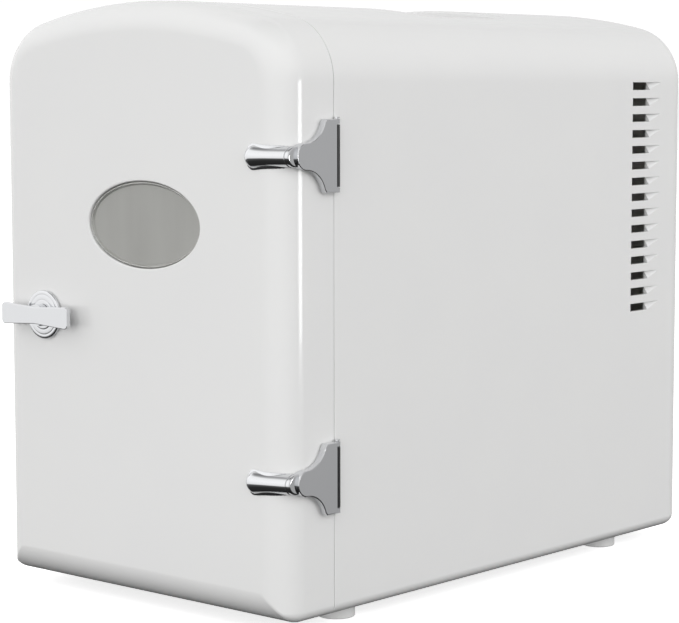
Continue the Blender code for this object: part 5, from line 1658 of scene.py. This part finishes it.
@dataclass
class Cover:
    """The back cover, with a round field of louvres and holes for the sockets."""

    recess: float = 0.0015
    thick: float = 0.002
    edge: float = 0.0005
    inset: float = 0.016 + GAP
    outlet: float = 0.042
    louvres: Louvres = Louvres(9, 0.0038, 0.0078, 0.042)
    socket_up: float = 0.048
    mains: Spot = (-0.030, 0.0113, 0.0078)
    switch: Spot = (0.030, 0.0098, 0.0048)
    jack: Point = (0.0, 0.0048)
    lamp: Point = (0.049, 0.0016)
    corner_share: float = 0.4

    @property
    def back(self) -> float:
        """The y of its outer face."""
        return FORM.depth - self.recess

    @property
    def front(self) -> float:
        """The y of its inner face."""
        return self.back - self.thick

    def window(self, place: Spot) -> list[Point]:
        """The cut-out of a socket.

        Args:
            place: The x of its middle, its half width and its half height.

        Returns:
            Its outline.
        """
        x, wide, tall = place
        low, high = (x - wide, self.socket_up - tall), (x + wide, self.socket_up + tall)
        return rounded(low, high, self.corner_share * min(wide, tall), 6)

    def build(self, cool: float) -> None:
        """Builds the cover and its screws.

        Args:
            cool: The height of the cooling unit's axis, where the louvres are.
        """
        soft = [(self.back - self.edge + rise, self.inset + inset) for inset, rise in fillet(self.edge, 3)]
        plate = FORM.skin([(self.front, self.inset)] + soft)
        through = (self.front - self.thick, self.back + self.thick)
        disc = rod("Y", (0.0, cool), self.outlet, *through, 96)
        louvres = worked("outlet", disc, [("INTERSECT", self.louvres.cutters(cool, through))])
        holes = [rod("Y", centre, COVER_SCREWS.hole, *through) for centre in COVER_SCREWS.places.values()]
        holes += [prism(self.window(place), "Y", *through) for place in (self.mains, self.switch)]
        holes += [rod("Y", (x, self.socket_up), radius, *through) for x, radius in (self.jack, self.lamp)]
        steps = [("DIFFERENCE", together(*holes)), ("DIFFERENCE", louvres)]
        piece("back_cover", worked("cover", plate, steps), WHITE_ABS, "cabinet", ["rear_cover"])
        heads = [(x, self.back + GAP, z) for x, z in COVER_SCREWS.places.values()]
        names = [f"cover_screw_{name}" for name in COVER_SCREWS.places]
        COVER_SCREWS.screw.place("cover_screws", heads, (-math.pi / 2, 0.0, 0.0), names)


COVER = Cover()


@dataclass
class Grille:
    """The slotted cover over the cold sink, inside the compartment."""

    from_side: float = 0.014
    half_height: float = 0.030
    wall: float = 0.002
    corner: float = 0.004
    louvres: Louvres = Louvres(7, 0.0035, 0.007, 0.025)

    def outline(self, half: float, cool: float, inset: float) -> list[Point]:
        """Its front outline, moved inwards."""
        wide, tall = half - inset, self.half_height - inset
        return rounded((-wide, cool - tall), (wide, cool + tall), self.corner - inset)

    def build(self, cool: float, deep: float) -> None:
        """Builds the grille.

        Args:
            cool: The height of its middle.
            deep: Its depth.
        """
        front, back = CAVITY.back - deep, CAVITY.back - GAP
        half = CAVITY.half - self.from_side
        levels = [(inset, front + MM - rise) for inset, rise in reversed(fillet(MM, 4))] + [(0.0, back)]
        cover = stack("Y", [(self.outline(half, cool, inset), y) for inset, y in levels])
        hollow = prism(self.outline(half, cool, self.wall), "Y", front + self.wall, back + self.wall)
        slots = self.louvres.cutters(cool, (front - self.wall, front + 2 * self.wall))
        mesh = worked("grille", cover, [("DIFFERENCE", hollow), ("DIFFERENCE", slots)])
        piece("cold_air_grille", mesh, LINER, "cabinet", ["inner_grille"])


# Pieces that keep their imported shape


KEPT = {
    CHROME: ("hinge_pin_upper", "hinge_pin_lower"),
    STEEL: (
        "latch_spindle", "latch_cam", "latch_nut", "latch_keeper", "handle_pin_left", "handle_pin_right",
        "leaf_screw_upper", "leaf_screw_lower", "bracket_screw_upper", "bracket_screw_lower",
    ),
    BLACK_STEEL: ("hinge_leaf_upper", "hinge_leaf_lower"),
    ALUMINIUM: ("cold_sink", "cold_block", "hot_sink"),
    FOAM: ("cabinet_insulation", "door_insulation"),
    BLACK_PLASTIC: (
        "inner_fan_frame", "inner_fan_rotor", "rear_fan_frame", "rear_fan_rotor",
        "ac_inlet", "dc_inlet", "switch_body", "power_supply",
    ),
    WHITE_ABS: ("power_switch",),
    CERAMIC: ("peltier_module",),
    BOARD: ("control_board",),
    LAMP: ("power_led",),
}


def dress_kept_pieces() -> None:
    """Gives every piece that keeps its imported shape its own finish."""
    for finish, names in KEPT.items():
        finish.dress(*(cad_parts[name] for name in names))
        LOG.info("%s: %s", finish.name, ", ".join(names))


# Studio


@dataclass
class Lamp:
    """One soft rectangular light that looks at a point of the fridge."""

    name: str
    place: Spot
    size: Point
    power: float
    glossy: bool = True
    target: Spot = (0.0, 0.0, 0.13)

    def build(self) -> None:
        """Hangs the light."""
        data = bpy.data.lights.new(self.name, "AREA")
        data.shape = "RECTANGLE"
        data.size, data.size_y = self.size
        data.energy = self.power
        made = bpy.data.objects.new(self.name, data)
        made.location = self.place
        made.rotation_euler = (Vector(self.target) - Vector(self.place)).to_track_quat("-Z", "Y").to_euler()
        made.visible_glossy = self.glossy
        made.visible_camera = False
        bpy.context.scene.collection.objects.link(made)


@dataclass
class Studio:
    """A white room: a pale floor, a sky that darkens underfoot and overhead, lights and the camera."""

    sky: tuple[Point, ...] = (
        (-1.0, 0.02), (-0.60, 0.03), (-0.28, 0.12), (-0.20, 0.85), (0.0, 1.00),
        (0.35, 1.10), (0.80, 1.05), (0.93, 0.32), (1.0, 0.18),
    )
    bright_side: Spot = (-0.66, -0.75, 0.0)
    dark_share: float = 0.50
    bright_share: float = 1.10
    side_reach: Point = (-0.9, 0.7)
    backdrop: float = 1.05
    camera_place: Spot = (0.70358, -0.66450, 0.22512)
    yaw: float = 41.29
    pitch: float = 5.80
    roll: float = -0.068
    lens: float = 117.37
    sensor: float = 36.0
    floor_half: float = 6.0
    lamps: tuple[Lamp, ...] = (
        Lamp("front_softbox", (0.8, -1.7, 0.20), (2.2, 1.0), 13.0, glossy=False),
        Lamp("side_softbox", (1.6, 0.3, 0.8), (1.8, 1.0), 9.5, glossy=False),
        Lamp("left_softbox", (-1.8, 0.4, 0.40), (1.6, 1.0), 8.0, glossy=False),
        Lamp("back_softbox", (0.2, 1.9, 0.40), (1.6, 1.0), 9.0, glossy=False),
        Lamp("top_softbox", (0.1, 0.1, 1.7), (1.4, 1.4), 0.3, glossy=False),
        Lamp("edge_box", (1.57, 0.62, 0.11), (0.42, 0.36), 3.0),
    )

    def world(self) -> None:
        """Makes the surroundings: white to the eye, and a graded sky for everything else."""
        made = bpy.data.worlds.new("studio")
        bpy.context.scene.world = made
        made.use_nodes = True
        tree = made.node_tree
        tree.nodes.clear()
        way = add(tree, "ShaderNodeTexCoord").outputs["Generated"]
        height = add(tree, "ShaderNodeSeparateXYZ", {0: way}).outputs[2]
        share = add(tree, "ShaderNodeMapRange", {0: height, 1: -1.0, 2: 1.0, 3: 0.0, 4: 1.0}).outputs[0]
        ramp = add(tree, "ShaderNodeValToRGB", {0: share})
        stops = ramp.color_ramp.elements
        stops[0].position, stops[1].position = 0.0, 1.0
        for up, light in self.sky[1:-1]:
            stops.new((up + 1) / 2)
        for stop, (up, light) in zip(stops, self.sky):
            stop.color = (light, light, light, 1.0)
        facing = add(tree, "ShaderNodeVectorMath", {0: way, 1: self.bright_side}, operation="DOT_PRODUCT")
        start, end = self.side_reach
        fade = {0: facing.outputs[1], 1: start, 2: end, 3: self.dark_share, 4: self.bright_share}
        side = add(tree, "ShaderNodeMapRange", fade).outputs[0]
        graded = add(tree, "ShaderNodeBackground", {0: ramp.outputs[0], 1: side})
        white = add(tree, "ShaderNodeBackground", {0: (1.0, 1.0, 1.0, 1.0), 1: self.backdrop})
        eye = add(tree, "ShaderNodeLightPath").outputs["Is Camera Ray"]
        both = add(tree, "ShaderNodeMixShader", {0: eye, 1: graded.outputs[0], 2: white.outputs[0]})
        add(tree, "ShaderNodeOutputWorld", {0: both.outputs[0]})

    def floor(self) -> None:
        """Lays the pale floor, which only the camera sees."""
        mesh = bmesh.new()
        far = self.floor_half
        corners = ((-far, -far), (far, -far), (far, far), (-far, far))
        mesh.faces.new([mesh.verts.new((x, y, 0.0)) for x, y in corners])
        made = held("floor", mesh)
        paper = bpy.data.materials.new("pale_paper_floor")
        paper.use_nodes = True
        shader = paper.node_tree.nodes["Principled BSDF"]
        plain = {
            "Base Color": linear("#f2f2f2"),
            "Roughness": 0.9,
            "Specular IOR Level": 0.1,
            "Emission Color": (1.0, 1.0, 1.0, 1.0),
            "Emission Strength": 0.72,
        }
        for socket, value in plain.items():
            shader.inputs[socket].default_value = value
        made.data.materials.append(paper)
        made.visible_diffuse = made.visible_glossy = made.visible_transmission = False

    def camera(self) -> None:
        """Sets up the camera."""
        yaw, pitch, roll = (math.radians(a) for a in (self.yaw, self.pitch, self.roll))
        ahead = Vector((-math.sin(yaw) * math.cos(pitch), math.cos(yaw) * math.cos(pitch), -math.sin(pitch)))
        level = Vector((math.cos(yaw), math.sin(yaw), 0.0))
        up = level.cross(ahead)
        right = math.cos(roll) * level + math.sin(roll) * up
        up = math.cos(roll) * up - math.sin(roll) * level
        data = bpy.data.cameras.new("camera")
        data.lens = self.lens
        data.sensor_width = self.sensor
        data.clip_start, data.clip_end = 0.05, 40.0
        made = bpy.data.objects.new("camera", data)
        turn = Matrix((right, up, -ahead)).transposed()
        made.matrix_world = Matrix.Translation(Vector(self.camera_place) + ORIGIN) @ turn.to_4x4()
        bpy.context.scene.collection.objects.link(made)
        bpy.context.scene.camera = made

    def build(self) -> None:
        """Sets up the whole studio."""
        bpy.context.scene.view_settings.view_transform = "Standard"
        self.world()
        self.floor()
        self.camera()
        for lamp in self.lamps:
            lamp.build()


def main() -> None:
    """Builds the fridge and its studio."""
    Studio().build()
    dress_kept_pieces()
    cabinet = Cabinet()
    cabinet.build()
    COVER.build(cabinet.cool)
    Grille().build(cabinet.cool, cabinet.grille_deep)
    FEET.build()
    HANDLE.build()
    Door().build()
    WINDOW.build()
    HINGE.build()
    LATCH.build()


if __name__ == "__main__":
    main()
